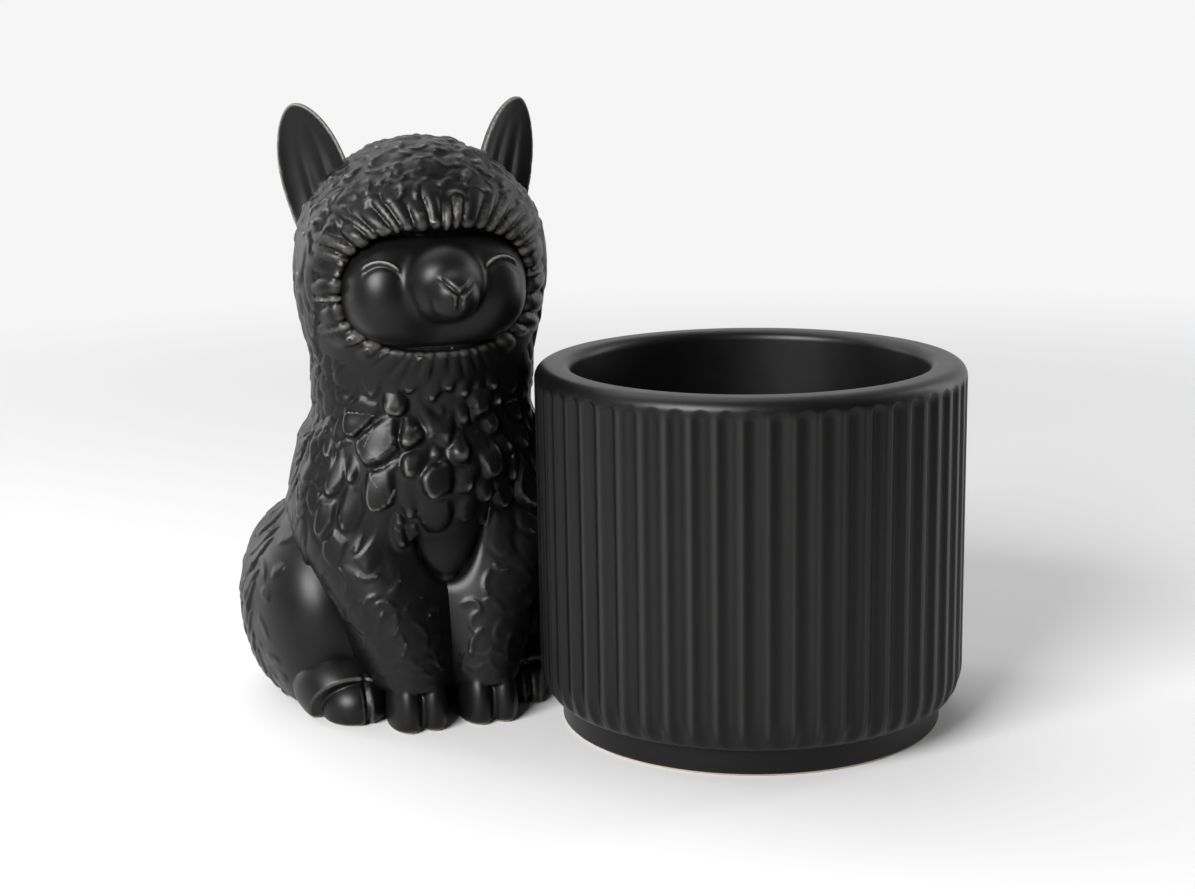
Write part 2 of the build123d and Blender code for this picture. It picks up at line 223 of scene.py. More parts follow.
def turning_tree():
    """Geometry nodes that turn a profile about the vertical axis and press flutes into it."""
    tree = bpy.data.node_groups.new("turned_and_fluted", "GeometryNodeTree")
    sockets = {
        "Profile": "NodeSocketObject",
        "Rings": "NodeSocketInt",
        "Columns": "NodeSocketInt",
        "Flute Count": "NodeSocketInt",
        "Flute Half Width": "NodeSocketFloat",
        "Flute Depth": "NodeSocketFloat",
        "Flute Arch Height": "NodeSocketFloat",
        "Wall Radius": "NodeSocketFloat",
        "Material": "NodeSocketMaterial",
    }
    for name, kind in sockets.items():
        tree.interface.new_socket(name, in_out="INPUT", socket_type=kind)
    tree.interface.new_socket("Geometry", in_out="OUTPUT", socket_type="NodeSocketGeometry")
    sizes = add(tree, "NodeGroupInput").outputs
    profile = add(tree, "GeometryNodeObjectInfo", {"Object": sizes["Profile"]}).outputs["Geometry"]
    seam = add(tree, "ShaderNodeMath", {0: sizes["Columns"], 1: 1.0}, operation="ADD").outputs[0]
    lattice = add(
        tree,
        "GeometryNodeMeshGrid",
        {"Size X": 1.0, "Size Y": 1.0, "Vertices X": seam, "Vertices Y": sizes["Rings"]},
    ).outputs["Mesh"]
    index = add(tree, "GeometryNodeInputIndex").outputs[0]
    ring = add(tree, "ShaderNodeMath", {0: index, 1: sizes["Rings"]}, operation="MODULO").outputs[0]
    passed = add(tree, "ShaderNodeMath", {0: index, 1: sizes["Rings"]}, operation="DIVIDE").outputs[0]
    column = add(tree, "ShaderNodeMath", {0: passed}, operation="FLOOR").outputs[0]
    place = add(tree, "GeometryNodeInputPosition").outputs[0]
    point = add(
        tree,
        "GeometryNodeSampleIndex",
        {"Geometry": profile, "Value": place, "Index": ring},
        data_type="FLOAT_VECTOR",
        domain="POINT",
    ).outputs[0]
    radius, share, height = add(tree, "ShaderNodeSeparateXYZ", {0: point}).outputs
    turn = add(tree, "ShaderNodeMath", {0: column, 1: sizes["Columns"]}, operation="DIVIDE").outputs[0]
    angle = add(tree, "ShaderNodeMath", {0: turn, 1: tau}, operation="MULTIPLY").outputs[0]
    beat = add(tree, "ShaderNodeMath", {0: turn, 1: sizes["Flute Count"]}, operation="MULTIPLY").outputs[0]
    phase = add(tree, "ShaderNodeMath", {0: beat}, operation="FRACT").outputs[0]
    off_middle = add(tree, "ShaderNodeMath", {0: phase, 1: 0.5}, operation="SUBTRACT").outputs[0]
    girth = add(tree, "ShaderNodeMath", {0: sizes["Wall Radius"], 1: tau}, operation="MULTIPLY").outputs[0]
    pitch = add(tree, "ShaderNodeMath", {0: girth, 1: sizes["Flute Count"]}, operation="DIVIDE").outputs[0]
    across = add(tree, "ShaderNodeMath", {0: off_middle, 1: pitch}, operation="MULTIPLY").outputs[0]
    arch = sizes["Flute Arch Height"]
    over = add(tree, "ShaderNodeMath", {0: height, 1: arch}, operation="SUBTRACT").outputs[0]
    above = add(tree, "ShaderNodeMath", {0: over, 1: 0.0}, operation="MAXIMUM").outputs[0]
    offset = add(tree, "ShaderNodeCombineXYZ", {"X": across, "Y": above}).outputs[0]
    away = add(tree, "ShaderNodeVectorMath", {0: offset}, operation="LENGTH").outputs["Value"]
    half = sizes["Flute Half Width"]
    reach = add(tree, "ShaderNodeMath", {0: away, 1: half}, operation="DIVIDE").outputs[0]
    square = add(tree, "ShaderNodeMath", {0: reach, 1: 2.0}, operation="POWER").outputs[0]
    hollow = add(
        tree, "ShaderNodeMath", {0: 1.0, 1: square}, operation="SUBTRACT", use_clamp=True
    ).outputs[0]
    top = add(tree, "ShaderNodeMath", {0: hollow, 1: hollow}, operation="MULTIPLY").outputs[0]
    base = add(tree, "ShaderNodeMath", {0: hollow, 1: FLUTE_SOFTNESS}, operation="ADD").outputs[0]
    softened = add(tree, "ShaderNodeMath", {0: top, 1: base}, operation="DIVIDE").outputs[0]
    pressed = add(tree, "ShaderNodeMath", {0: softened, 1: share}, operation="MULTIPLY").outputs[0]
    deepest = sizes["Flute Depth"]
    depth = add(tree, "ShaderNodeMath", {0: pressed, 1: deepest}, operation="MULTIPLY").outputs[0]
    fluted = add(tree, "ShaderNodeMath", {0: radius, 1: depth}, operation="SUBTRACT").outputs[0]
    cosine = add(tree, "ShaderNodeMath", {0: angle}, operation="COSINE").outputs[0]
    sine = add(tree, "ShaderNodeMath", {0: angle}, operation="SINE").outputs[0]
    x = add(tree, "ShaderNodeMath", {0: fluted, 1: cosine}, operation="MULTIPLY").outputs[0]
    y = add(tree, "ShaderNodeMath", {0: fluted, 1: sine}, operation="MULTIPLY").outputs[0]
    turned = add(tree, "ShaderNodeCombineXYZ", {"X": x, "Y": y, "Z": height}).outputs[0]
    wall = add(tree, "GeometryNodeSetPosition", {"Geometry": lattice, "Position": turned}).outputs[0]
    closed = add(tree, "GeometryNodeMergeByDistance", {"Geometry": wall, "Distance": 0.001 * MM}).outputs[0]
    smooth = add(tree, "GeometryNodeSetShadeSmooth", {"Geometry": closed}).outputs[0]
    real = add(tree, "GeometryNodeRealizeInstances", {"Geometry": smooth}).outputs[0]
    finish = sizes["Material"]
    glazed = add(tree, "GeometryNodeSetMaterial", {"Geometry": real, "Material": finish}).outputs[0]
    add(tree, "NodeGroupOutput", {"Geometry": glazed})
    return tree


def mark_thin_glaze_and_highlight(mesh, sharpest):
    """Stores how much light grey each point gets: nothing on the flat, all of it on a sharp ridge, partly
    as glaze running off the ridge and partly as a painted highlight. The sharpest curve, in 1/mm, is where
    it is lightest."""
    count = len(mesh.vertices)
    points = np.empty(count * 3)
    mesh.vertices.foreach_get("co", points)
    points = points.reshape(-1, 3) / MM
    normals = np.empty(count * 3)
    mesh.vertex_normals.foreach_get("vector", normals)
    normals = normals.reshape(-1, 3)
    edges = np.empty(len(mesh.edges) * 2, np.int32)
    mesh.edges.foreach_get("vertices", edges)
    a, b = edges.reshape(-1, 2).T
    span = points[b] - points[a]
    length = np.maximum((span**2).sum(1), 1e-6)
    bend = np.zeros(count)
    uses = np.zeros(count)
    np.add.at(bend, a, -2 * (span * normals[a]).sum(1) / length)
    np.add.at(bend, b, 2 * (span * normals[b]).sum(1) / length)
    np.add.at(uses, a, 1)
    np.add.at(uses, b, 1)
    bend /= np.maximum(uses, 1)
    for _ in range(2):
        total = bend.copy()
        np.add.at(total, a, bend[b])
        np.add.at(total, b, bend[a])
        bend = total / (uses + 1)
    # Convex points get more of the light grey: partly glaze thinning, partly painted highlight.
    glaze_thinning_and_highlight = np.clip(bend / sharpest - 0.3, 0, 1)
    layer = mesh.attributes.new("thin_glaze_and_painted_highlight", "FLOAT", "POINT")
    layer.data.foreach_set("value", glaze_thinning_and_highlight.astype(np.float32))


def mark_ridge_highlights(mesh):
    """Adds a fine painted highlight along the ridge between every two flutes to the light grey of the
    edges.
    """
    points = np.empty(len(mesh.vertices) * 3)
    mesh.vertices.foreach_get("co", points)
    x, y, z = points.reshape(-1, 3).T / MM
    turn = np.arctan2(y, x) / tau * FLUTE_COUNT
    off_ridge = np.abs(turn - np.round(turn)) * tau * POT_RADIUS / FLUTE_COUNT
    low = np.clip((z - FOOT_HEIGHT - 3) / 4, 0, 1)
    high = np.clip((POT_HEIGHT - FLUTE_TOP_GAP - z) / 3, 0, 1)
    wall = np.hypot(x, y) > POT_RADIUS - 2 * FLUTE_DEPTH - 2
    # The line along each flute ridge is a painted highlight.
    line = RIDGE_HIGHLIGHT * np.exp(-((off_ridge / RIDGE_HIGHLIGHT_HALF_WIDTH) ** 2)) * low * high * wall
    layer = mesh.attributes["thin_glaze_and_painted_highlight"]
    glaze_thinning_and_highlight = np.empty(len(mesh.vertices), np.float32)
    layer.data.foreach_get("value", glaze_thinning_and_highlight)
    layer.data.foreach_set("value", np.maximum(glaze_thinning_and_highlight, line).astype(np.float32))


def turned_piece(name, profile, columns, material, flutes):
    """A piece turned from its profile in millimetres, as a plain mesh in metres."""
    outline = bpy.data.meshes.new(name + "_profile")
    runs = [(i, i + 1) for i in range(len(profile) - 1)]
    outline.from_pydata([(r * MM, share, z * MM) for r, share, z in profile], runs, [])
    template = bpy.data.objects.new(name + "_profile", outline)
    carrier = bpy.data.objects.new(name + "_carrier", bpy.data.meshes.new(name + "_carrier"))
    bpy.context.scene.collection.objects.link(template)
    bpy.context.scene.collection.objects.link(carrier)
    tree = turning_tree()
    modifier = carrier.modifiers.new("turning", "NODES")
    modifier.node_group = tree
    values = {"Profile": template, "Rings": len(profile), "Columns": columns, "Material": material}
    values.update(flutes)
    for item in tree.interface.items_tree:
        if item.in_out == "INPUT":
            modifier[item.identifier] = values[item.name]
    turned = carrier.evaluated_get(bpy.context.evaluated_depsgraph_get())
    mesh = bpy.data.meshes.new_from_object(turned)
    mesh.name = name
    shell = bmesh.new()
    shell.from_mesh(mesh)
    bmesh.ops.recalc_face_normals(shell, faces=shell.faces)
    shell.to_mesh(mesh)
    shell.free()
    bpy.data.objects.remove(carrier)
    bpy.data.objects.remove(template)
    piece = bpy.data.objects.new(name, mesh)
    bpy.context.scene.collection.objects.link(piece)
    return piece


glaze = black_glaze()
flutes = {
    "Flute Count": FLUTE_COUNT,
    "Flute Half Width": FLUTE_WIDTH / 2 * MM,
    "Flute Depth": FLUTE_DEPTH * (1 + FLUTE_SOFTNESS) * MM,
    "Flute Arch Height": (POT_HEIGHT - FLUTE_TOP_GAP - FLUTE_WIDTH / 2) * MM,
    "Wall Radius": POT_RADIUS * MM,
}
pot = turned_piece("glazed_pot", pot_profile(), FLUTE_COUNT * COLUMNS_PER_FLUTE, glaze, flutes)
mark_thin_glaze_and_highlight(pot.data, sharpest=1.2)
mark_ridge_highlights(pot.data)
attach(pot, "planter")
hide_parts("fluted_pot")


# Drain stopper
# A moulded black rubber plug, pushed into the drain hole from inside and pulled out by its knob.

PLUG_CLEARANCE = 0.06
PLUG_FLANGE_RADIUS = 12.0
PLUG_FLANGE_HEIGHT = 2.2
PLUG_KNOB_RADIUS = 4.2
PLUG_KNOB_HEIGHT = 4.0
PLUG_KNOB_WAIST = 0.9
PLUG_STEM_INSET = 1.0
PLUG_ROUNDING = 0.6


def stopper_rubber():
    """Moulded rubber: deep grey-black, dull all over, with the fine sparked texture of its mould."""
    material = bpy.data.materials.new("moulded_black_rubber")
    material.use_nodes = True
    tree = material.node_tree
    shader = tree.nodes["Principled BSDF"]
    shader.inputs["IOR"].default_value = 1.52
    place = add(tree, "ShaderNodeTexCoord").outputs["Object"]
    bloom = add(tree, "ShaderNodeTexNoise", {"Vector": place, "Scale": 1 / (4 * MM), "Detail": 3.0})
    spark = add(tree, "ShaderNodeTexNoise", {"Vector": place, "Scale": 1 / (0.35 * MM), "Detail": 1.0})
    colour = add(
        tree,
        "ShaderNodeMix",
        {"Factor": bloom.outputs["Fac"], "A": linear("#1a1a1a"), "B": linear("#262524")},
        data_type="RGBA",
    )
    dull = add(tree, "ShaderNodeMapRange", {"Value": bloom.outputs["Fac"], "To Min": 0.6, "To Max": 0.75})
    bump = add(
        tree,
        "ShaderNodeBump",
        {"Strength": 0.2, "Distance": 0.04 * MM, "Height": spark.outputs["Fac"]},
    )
    tree.links.new(colour.outputs["Result"], shader.inputs["Base Color"])
    tree.links.new(dull.outputs["Result"], shader.inputs["Roughness"])
    tree.links.new(bump.outputs["Normal"], shader.inputs["Normal"])
    return material


def stopper_profile():
    stem = DRAIN_RADIUS - PLUG_CLEARANCE
    stem_z = FOOT_RECESS + PLUG_STEM_INSET
    flange_z = FOOT_RECESS + POT_FLOOR + PLUG_CLEARANCE
    flange_top = flange_z + PLUG_FLANGE_HEIGHT
    knob_top = flange_top + PLUG_KNOB_HEIGHT
    waist = PLUG_KNOB_RADIUS - PLUG_KNOB_WAIST
    waist_z = (flange_top + knob_top) / 2
    r = (PLUG_ROUNDING, PLUG_ROUNDING)
    small = (PLUG_ROUNDING / 3, PLUG_ROUNDING / 3)
    profile = [(0.0, 0.0, stem_z)]
    profile += arc((stem - r[0], stem_z + r[0]), r, 270, 360, 4)
    profile += arc((stem, flange_z), (0.0, 0.0), 0, 90, 1)
    profile += arc((PLUG_FLANGE_RADIUS - small[0], flange_z + small[0]), small, 270, 360, 3)
    profile += arc((PLUG_FLANGE_RADIUS - r[0], flange_top - r[0]), r, 0, 90, 5)
    profile += arc((waist + r[0], flange_top + r[0]), r, 270, 180, 5)
    profile += arc((PLUG_KNOB_RADIUS - r[0], waist_z + r[0]), r, 300, 360, 4)
    profile += arc((PLUG_KNOB_RADIUS - r[0], knob_top - r[0]), r, 0, 90, 5)
    profile.append((0.0, 0.0, knob_top))
    return profile


plain = dict(flutes, **{"Flute Depth": 0.0})
stopper = turned_piece("rubber_stopper", stopper_profile(), 64, stopper_rubber(), plain)
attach(stopper, "stopper")
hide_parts("drain_plug")


# Body
# Hollow slip-cast chest, back and neck, modelled in the clay with overlapping locks of fleece.
# The breast swells over a smooth bib, and long locks run down the neck and flanks.

FIGURE_PLACE = (-92.8, -4.8, 0.0)
FIGURE_YAW = 18.5  # degrees, towards the pot's front
BODY_WIDTH = 86.0
BODY_DEPTH = 92.0
BODY_HEIGHT = 122.0
BODY_CENTRE_Y = 50.0
BODY_SPACING = 0.73  # between the points of the skin
# height, shift forward, width and depth of each oval, as shares of the body's own sizes
BODY_SECTION_SHARES = (
    (0.00, 0.000, 0.92, 0.90),
    (0.16, 0.000, 1.00, 1.00),
    (0.36, 0.030, 0.98, 0.96),
    (0.56, 0.130, 0.90, 0.82),
    (0.74, 0.250, 0.78, 0.66),
    (0.88, 0.300, 0.78, 0.62),
    (1.00, 0.320, 0.79, 0.62),
)
BREAST_SIZE = (66.0, 62.0, 48.0)
BREAST_PLACE = (-1.0, 22.0, 78.0)
BREAST_BLEND = 6.0
BIB_TOP = 66.0
BIB_BOTTOM = 44.5
BIB_X = 0.7
BIB_WIDTH = 22.0
BIB_ROUNDNESS = 1.9
BIB_LIFT = 1.7
BIB_GROOVE = 0.8
SCALE_LENGTH = 12.5
SCALE_WIDTH = 8.2
SCALE_LIFT = 2.1
SCALE_ROUNDING = 2.4  # how far in from its edge a scale is rounded
SCALE_CREASE = 0.35  # half width of the crease between two scales
SCALE_RIM = 0.28
# across, height, length and width of the largest scales on the chest
LARGE_SCALES = (
    (-20.5, 86.0, 18.0, 12.5),
    (-11.0, 90.0, 12.0, 9.5),
    (-15.0, 100.0, 10.0, 13.0),
    (-21.0, 72.0, 14.0, 11.0),
    (-6.0, 75.0, 13.0, 9.5),
    (4.5, 84.0, 12.0, 9.0),
    (-13.0, 60.0, 14.0, 8.5),
)
SCALE_SPACING = 7.3
SCALE_SHAPE = dict(turn=0.45, vary=0.45, root=0.15, tip=0.6)
SMALL_SCALES = dict(spacing=4.0, length=5.5, width=4.5, lift=0.8 * SCALE_LIFT, **SCALE_SHAPE)
SCALE_BEARING = 78.0  # degrees round from the front, where the scales end
SCALE_BEARING_FADE = 12.0
CHIN_HEIGHT = 110.0  # where the scales end under the chin
CHIN_FADE = 9.0
FLANK_LOCKS = dict(spacing=4.2, length=19.0, width=5.2, lift=1.5, turn=0.3, dish=0.05, root=0.4)
BELLY_SHARE = 0.6  # where along its length a lock is widest
UNDER_SHARE = 0.5  # how much of a lower lock still shows beside the edge of an upper one


@dataclass
class Skin:
    """The surface of a casting in the figure's own frame, with the relief that is raised on it."""

    points: np.ndarray
    normals: np.ndarray
    quads: np.ndarray
    relief: np.ndarray
    tree: kdtree.KDTree


@dataclass
class Lock:
    """One lock of fleece: its place, the way out of the skin there, the way it hangs, and its sizes."""

    at: np.ndarray
    facing: np.ndarray
    along: np.ndarray
    sizes: dict


def egg(p, centre, size):
    """Field of an ellipsoid of full sizes: about the distance from its surface, negative inside."""
    radii = np.asarray(size) / 2
    q = (p - np.asarray(centre)) / radii
    reach = np.sqrt((q**2).sum(1))
    return reach * (reach - 1) / np.maximum(np.sqrt(((q / radii) ** 2).sum(1)), 1e-6)


def soft_union(a, b, blend):
    near = np.maximum(blend - np.abs(a - b), 0) / blend
    return np.minimum(a, b) - near**2 * blend / 4


def soft_cut(a, b, blend):
    return -soft_union(-a, -b, blend)


def smooth_through(stops, values, at):
    """Smooth curve through a few values, held level beyond the ends."""
    stops = np.asarray(stops)
    values = np.asarray(values)
    slopes = np.gradient(values, stops)
    i = np.clip(np.searchsorted(stops, at) - 1, 0, len(stops) - 2)
    gap = stops[i + 1] - stops[i]
    t = np.clip((at - stops[i]) / gap, 0, 1)
    start = (1 + 2 * t) * values[i] + t * gap * slopes[i]
    end = (3 - 2 * t) * values[i + 1] - (1 - t) * gap * slopes[i + 1]
    return (1 - t) ** 2 * start + t**2 * end


def oval_column(p, stops, x, y, width, depth):
    """Field of an upright form whose ovals change smoothly with height."""
    half_x = smooth_through(stops, width, p[:, 2]) / 2
    half_y = smooth_through(stops, depth, p[:, 2]) / 2
    u = (p[:, 0] - smooth_through(stops, x, p[:, 2])) / half_x
    v = (p[:, 1] - smooth_through(stops, y, p[:, 2])) / half_y
    reach = np.sqrt(u**2 + v**2)
    steepness = np.sqrt((u / half_x) ** 2 + (v / half_y) ** 2)
    return reach * (reach - 1) / np.maximum(steepness, 1e-6)


def body_form(p):
    height, forward, width, depth = np.array(BODY_SECTION_SHARES).T
    middle = BODY_CENTRE_Y - forward * BODY_DEPTH
    side = oval_column(p, height * BODY_HEIGHT, 0 * height, middle, width * BODY_WIDTH, depth * BODY_DEPTH)
    side = soft_union(side, egg(p, BREAST_PLACE, BREAST_SIZE), BREAST_BLEND)
    return soft_cut(side, np.maximum(-p[:, 2], p[:, 2] - BODY_HEIGHT), 3.0)


def sculpt(field, low, high, spacing):
    """The skin where a field is zero, with points about one spacing apart."""
    cell = 2 * spacing
    axes = [np.arange(a - 2 * cell, b + 3 * cell, cell) for a, b in zip(low, high)]
    lattice = np.stack(np.meshgrid(*axes, indexing="ij"), -1)
    values = field(lattice.reshape(-1, 3)).reshape(lattice.shape[:3])
    clay = openvdb.FloatGrid(3 * cell)
    clay.copyFromArray(np.clip(values, -3 * cell, 3 * cell).astype(np.float32))
    clay.transform = openvdb.createLinearTransform(voxelSize=cell)
    corners, faces = clay.convertToQuads(0.0)
    coarse = bpy.data.meshes.new("coarse_skin")
    coarse.from_pydata(corners + lattice[0, 0, 0], [], faces)
    holder = bpy.data.objects.new("coarse_skin", coarse)
    bpy.context.scene.collection.objects.link(holder)
    split = holder.modifiers.new("split", "SUBSURF")
    split.subdivision_type = "SIMPLE"
    split.levels = split.render_levels = 1
    fine = bpy.data.meshes.new_from_object(holder.evaluated_get(bpy.context.evaluated_depsgraph_get()))
    points = np.empty(len(fine.vertices) * 3)
    fine.vertices.foreach_get("co", points)
    points = points.reshape(-1, 3)
    quads = np.empty(len(fine.loops), np.int32)
    fine.loops.foreach_get("vertex_index", quads)
    bpy.data.objects.remove(holder)
    bpy.data.meshes.remove(fine)
    for _ in range(4):
        normals = slope(field, points)
        steep = np.maximum((normals**2).sum(1), 0.05)
        points = points - normals * (np.clip(field(points), -cell, cell) / steep)[:, None]
    normals = slope(field, points)
    normals /= np.maximum(np.sqrt((normals**2).sum(1)), 1e-6)[:, None]
    tree = kdtree.KDTree(len(points))
    for i, point in enumerate(points):
        tree.insert(point, i)
    tree.balance()
    return Skin(points, normals, quads.reshape(-1, 4), np.zeros(len(points)), tree)


def slope(field, points):
    """Steepest way out of a field, by small steps along each axis."""
    step = 0.05
    moves = np.eye(3) * step
    return np.stack([field(points + m) - field(points - m) for m in moves], -1) / (2 * step)


def scatter(skin, zone, spacing, rng):
    """Points of a zone about one spacing apart, in a random order that is the same each time."""
    taken = ~zone
    places = []
    for i in rng.permutation(np.flatnonzero(zone)):
        if not taken[i]:
            places.append(i)
            for _, near, _ in skin.tree.find_range(skin.points[i], spacing):
                taken[near] = True
    return places


def lock_profile(u, v, length, width, dish, root):
    """Relief of one lock, from 0 to 1: a teardrop that rises from its root to a rounded tip."""
    s = u / length + 0.5
    taper = np.clip(s / BELLY_SHARE, 0.02, 1) ** 0.6
    tip = np.clip((s - BELLY_SHARE) / (1 - BELLY_SHARE), 0, None)
    inside = np.clip(1 - (2 * v / (width * taper)) ** 2 - tip**2, 0, 1)
    inside = np.where(s > 0, inside, 0)
    edge = np.clip(inside / 0.6, 0, 1)
    pillow = np.sqrt(edge * (2 - edge)) - dish * inside**1.5
    return (root + (1 - root) * np.clip(s, 0, 1)) * pillow


def raise_lock(skin, at, along, length, width, lift, dish, root, bend):
    """Raises one lock where the skin is nearest to a point, over whatever is lower."""
    _, i, away = skin.tree.find(at)
    if away > length / 2:
        return
    at, normal = skin.points[i], skin.normals[i]
    along = along - normal * (along @ normal)
    along = along / max(np.linalg.norm(along), 1e-6)
    across = np.cross(normal, along)
    near = np.array([j for _, j, _ in skin.tree.find_range(at, 0.75 * max(length, width))])
    near = near[skin.normals[near] @ normal > 0.15]
    away = skin.points[near] - at
    u, v = away @ along, away @ across
    v = v - bend * (u / length) ** 2 * length
    height = lift * lock_profile(u, v, length, width, dish, root)
    under = skin.relief[near]
    skin.relief[near] = np.where(height > 0, np.maximum(height, UNDER_SHARE * under), under)


def pack_locks(skin, locks, rounding, crease, share, rim=0.0):
    """Packs locks edge to edge over a skin, like scales: each swells from its root to its rounded tip,
    has a fine rim, and drops into the crease that parts it from the next."""
    nearest = np.full((2, len(skin.points)), 9.0)
    widths = np.ones((2, len(skin.points)))
    rise = np.zeros(len(skin.points))
    for lock in locks:
        length, width = lock.sizes["length"], lock.sizes["width"]
        along = lock.along - lock.facing * (lock.along @ lock.facing)
        along = along / max(np.linalg.norm(along), 1e-6)
        across = np.cross(lock.facing, along)
        near = np.array([j for _, j, _ in skin.tree.find_range(lock.at, 1.4 * max(length, width))], int)
        near = near[skin.normals[near] @ lock.facing > 0.1]
        away = skin.points[near] - lock.at
        u, v = away @ along / length, away @ across / width
        v = v - lock.sizes["bend"] * u**2 * length / width
        reach = 2 * (np.hypot(u, v) + lock.sizes["tip"] * u)
        swell = np.clip(u + 0.7, 0, 1)
        first = reach < nearest[0, near]
        second = ~first & (reach < nearest[1, near])
        inner, outer = near[first], near[second]
        nearest[1, inner], widths[1, inner] = nearest[0, inner], widths[0, inner]
        nearest[0, inner], widths[0, inner] = reach[first], width
        nearest[1, outer], widths[1, outer] = reach[second], width
        rise[inner] = lock.sizes["lift"] * (lock.sizes["root"] + (1 - lock.sizes["root"]) * swell[first])
    edge = (nearest[1] - nearest[0]) * widths.prod(0) / (2 * widths.sum(0))
    edge = np.minimum(edge, (1.3 - nearest[0]) * widths[0] / 2)
    edge = soften(skin, np.clip(edge, -1, 2 * rounding), 3) - crease
    dome = np.clip(edge / rounding, 0, 1)
    belly = 0.65 + 0.65 * np.clip(1 - (nearest[0] / 1.2) ** 2, 0, 1)
    ridge = rim * np.exp(-(((edge / rounding - 0.36) / 0.2) ** 2)) * (dome > 0)
    skin.relief = np.maximum(skin.relief, share * rise * (belly * np.sqrt(dome * (2 - dome)) + ridge))


def comb(skin, zone, flow, rng, spacing, length, width, lift, turn=0.35, vary=0.25, **shape):
    """Locks that cover a zone and follow the flow, each a little different from the next."""
    locks = []
    for i in scatter(skin, zone, spacing, rng):
        normal = skin.normals[i]
        along = np.asarray(flow(skin.points[i]), float)
        along = along - normal * (along @ normal)
        swing = rng.uniform(-turn, turn)
        along = along * cos(swing) + np.cross(normal, along) * sin(swing)
        size = 1 + vary * rng.uniform(-1, 1)
        slim = 1 + 0.5 * vary * rng.uniform(-1, 1)
        bend = rng.uniform(-0.35, 0.35)
        sizes = dict(length=length * size, width=width * size * slim, lift=lift * slim, bend=bend, **shape)
        locks.append(Lock(skin.points[i], normal, along, sizes))
    return sorted(locks, key=lambda lock: lock.at[2])


def raise_locks(skin, locks):
    for lock in locks:
        raise_lock(skin, lock.at, lock.along, **lock.sizes)


def raise_creases(skin, zone, rng, spacing, lift, bends, slopes, lengths=(6.0, 13.0)):
    """Scatters bent creases over a zone, each a thin ridge outside its bend and a soft slope inside."""
    for i in scatter(skin, zone, spacing, rng):
        at, normal = skin.points[i], skin.normals[i]
        along = np.cross(normal, rng.normal(size=3))
        along /= np.linalg.norm(along)
        across = np.cross(normal, along)
        bend, length = rng.uniform(*bends), rng.uniform(*lengths)
        near = np.array([j for _, j, _ in skin.tree.find_range(at, 0.6 * lengths[1] + slopes[1])])
        near = near[skin.normals[near] @ normal > 0.15]
        away = skin.points[near] - at
        u, v = away @ along, away @ across - bend
        outside = np.hypot(u, v) - bend
        way = np.abs(np.arctan2(u, -v)) * bend / (length / 2)
        slope_width = np.where(outside > 0, slopes[0], slopes[1])
        height = lift * rng.uniform(0.75, 1.25) * np.exp(-((outside / slope_width) ** 2))
        height *= np.clip((1 - way) / 0.35, 0, 1)
        skin.relief[near] += height


def soften(skin, values, passes):
    """Lets a value flow between neighbouring points, as slip and glaze fill a hollow."""
    a = skin.quads.ravel()
    b = np.roll(skin.quads, -1, axis=1).ravel()
    uses = np.bincount(a, minlength=len(values)) + np.bincount(b, minlength=len(values))
    for _ in range(passes):
        total = np.bincount(a, values[b], len(values)) + np.bincount(b, values[a], len(values))
        values = 0.5 * values + 0.5 * total / np.maximum(uses, 1)
    return values


def figure_piece(name, skin, nodes, head=False, sharpest=0.9, soft_passes=1):
    """Makes a casting's mesh from its skin and relief, seated in the pot's frame."""
    relief = soften(skin, skin.relief, soft_passes)
    points = skin.points + skin.normals * relief[:, None]
    points[:, 2] = np.maximum(points[:, 2], 0)
    mesh = bpy.data.meshes.new(name)
    mesh.from_pydata(points, [], skin.quads)
    mesh.shade_smooth()
    shell = bmesh.new()
    shell.from_mesh(mesh)
    bmesh.ops.recalc_face_normals(shell, faces=shell.faces)
    shell.to_mesh(mesh)
    shell.free()
    seat = Matrix.Translation(FIGURE_PLACE) @ Matrix.Rotation(radians(FIGURE_YAW), 4, "Z")
    if head:
        seat = seat @ head_on_neck()
    mesh.transform(Matrix.Scale(MM, 4) @ seat)
    mesh.materials.append(glaze)
    mark_thin_glaze_and_highlight(mesh, sharpest)
    piece = bpy.data.objects.new(name, mesh)
    bpy.context.scene.collection.objects.link(piece)
    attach(piece, "planter")
    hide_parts(*nodes)
    return piece


def bearing(points):
    """Angle of each point round the upright middle of the body, 0 at the front."""
    height, forward, _, _ = np.array(BODY_SECTION_SHARES).T
    middle = smooth_through(height * BODY_HEIGHT, BODY_CENTRE_Y - forward * BODY_DEPTH, points[:, 2])
    return np.degrees(np.abs(np.arctan2(points[:, 0], middle - points[:, 1])))


def front_share(points):
    """1 on the chest, fading to 0 round at the flanks."""
    return np.clip((SCALE_BEARING - bearing(points)) / SCALE_BEARING_FADE, 0, 1)


def bib_reach(x, z):
    """1 on the outline of the bib, less inside it: a tongue that narrows to its rounded end."""
    u = np.abs(x - BIB_X) / (BIB_WIDTH / 2)
    v = np.clip((BIB_TOP - z) / (BIB_TOP - BIB_BOTTOM), 0, None)
    return (u**BIB_ROUNDNESS + v**BIB_ROUNDNESS) ** (1 / BIB_ROUNDNESS)


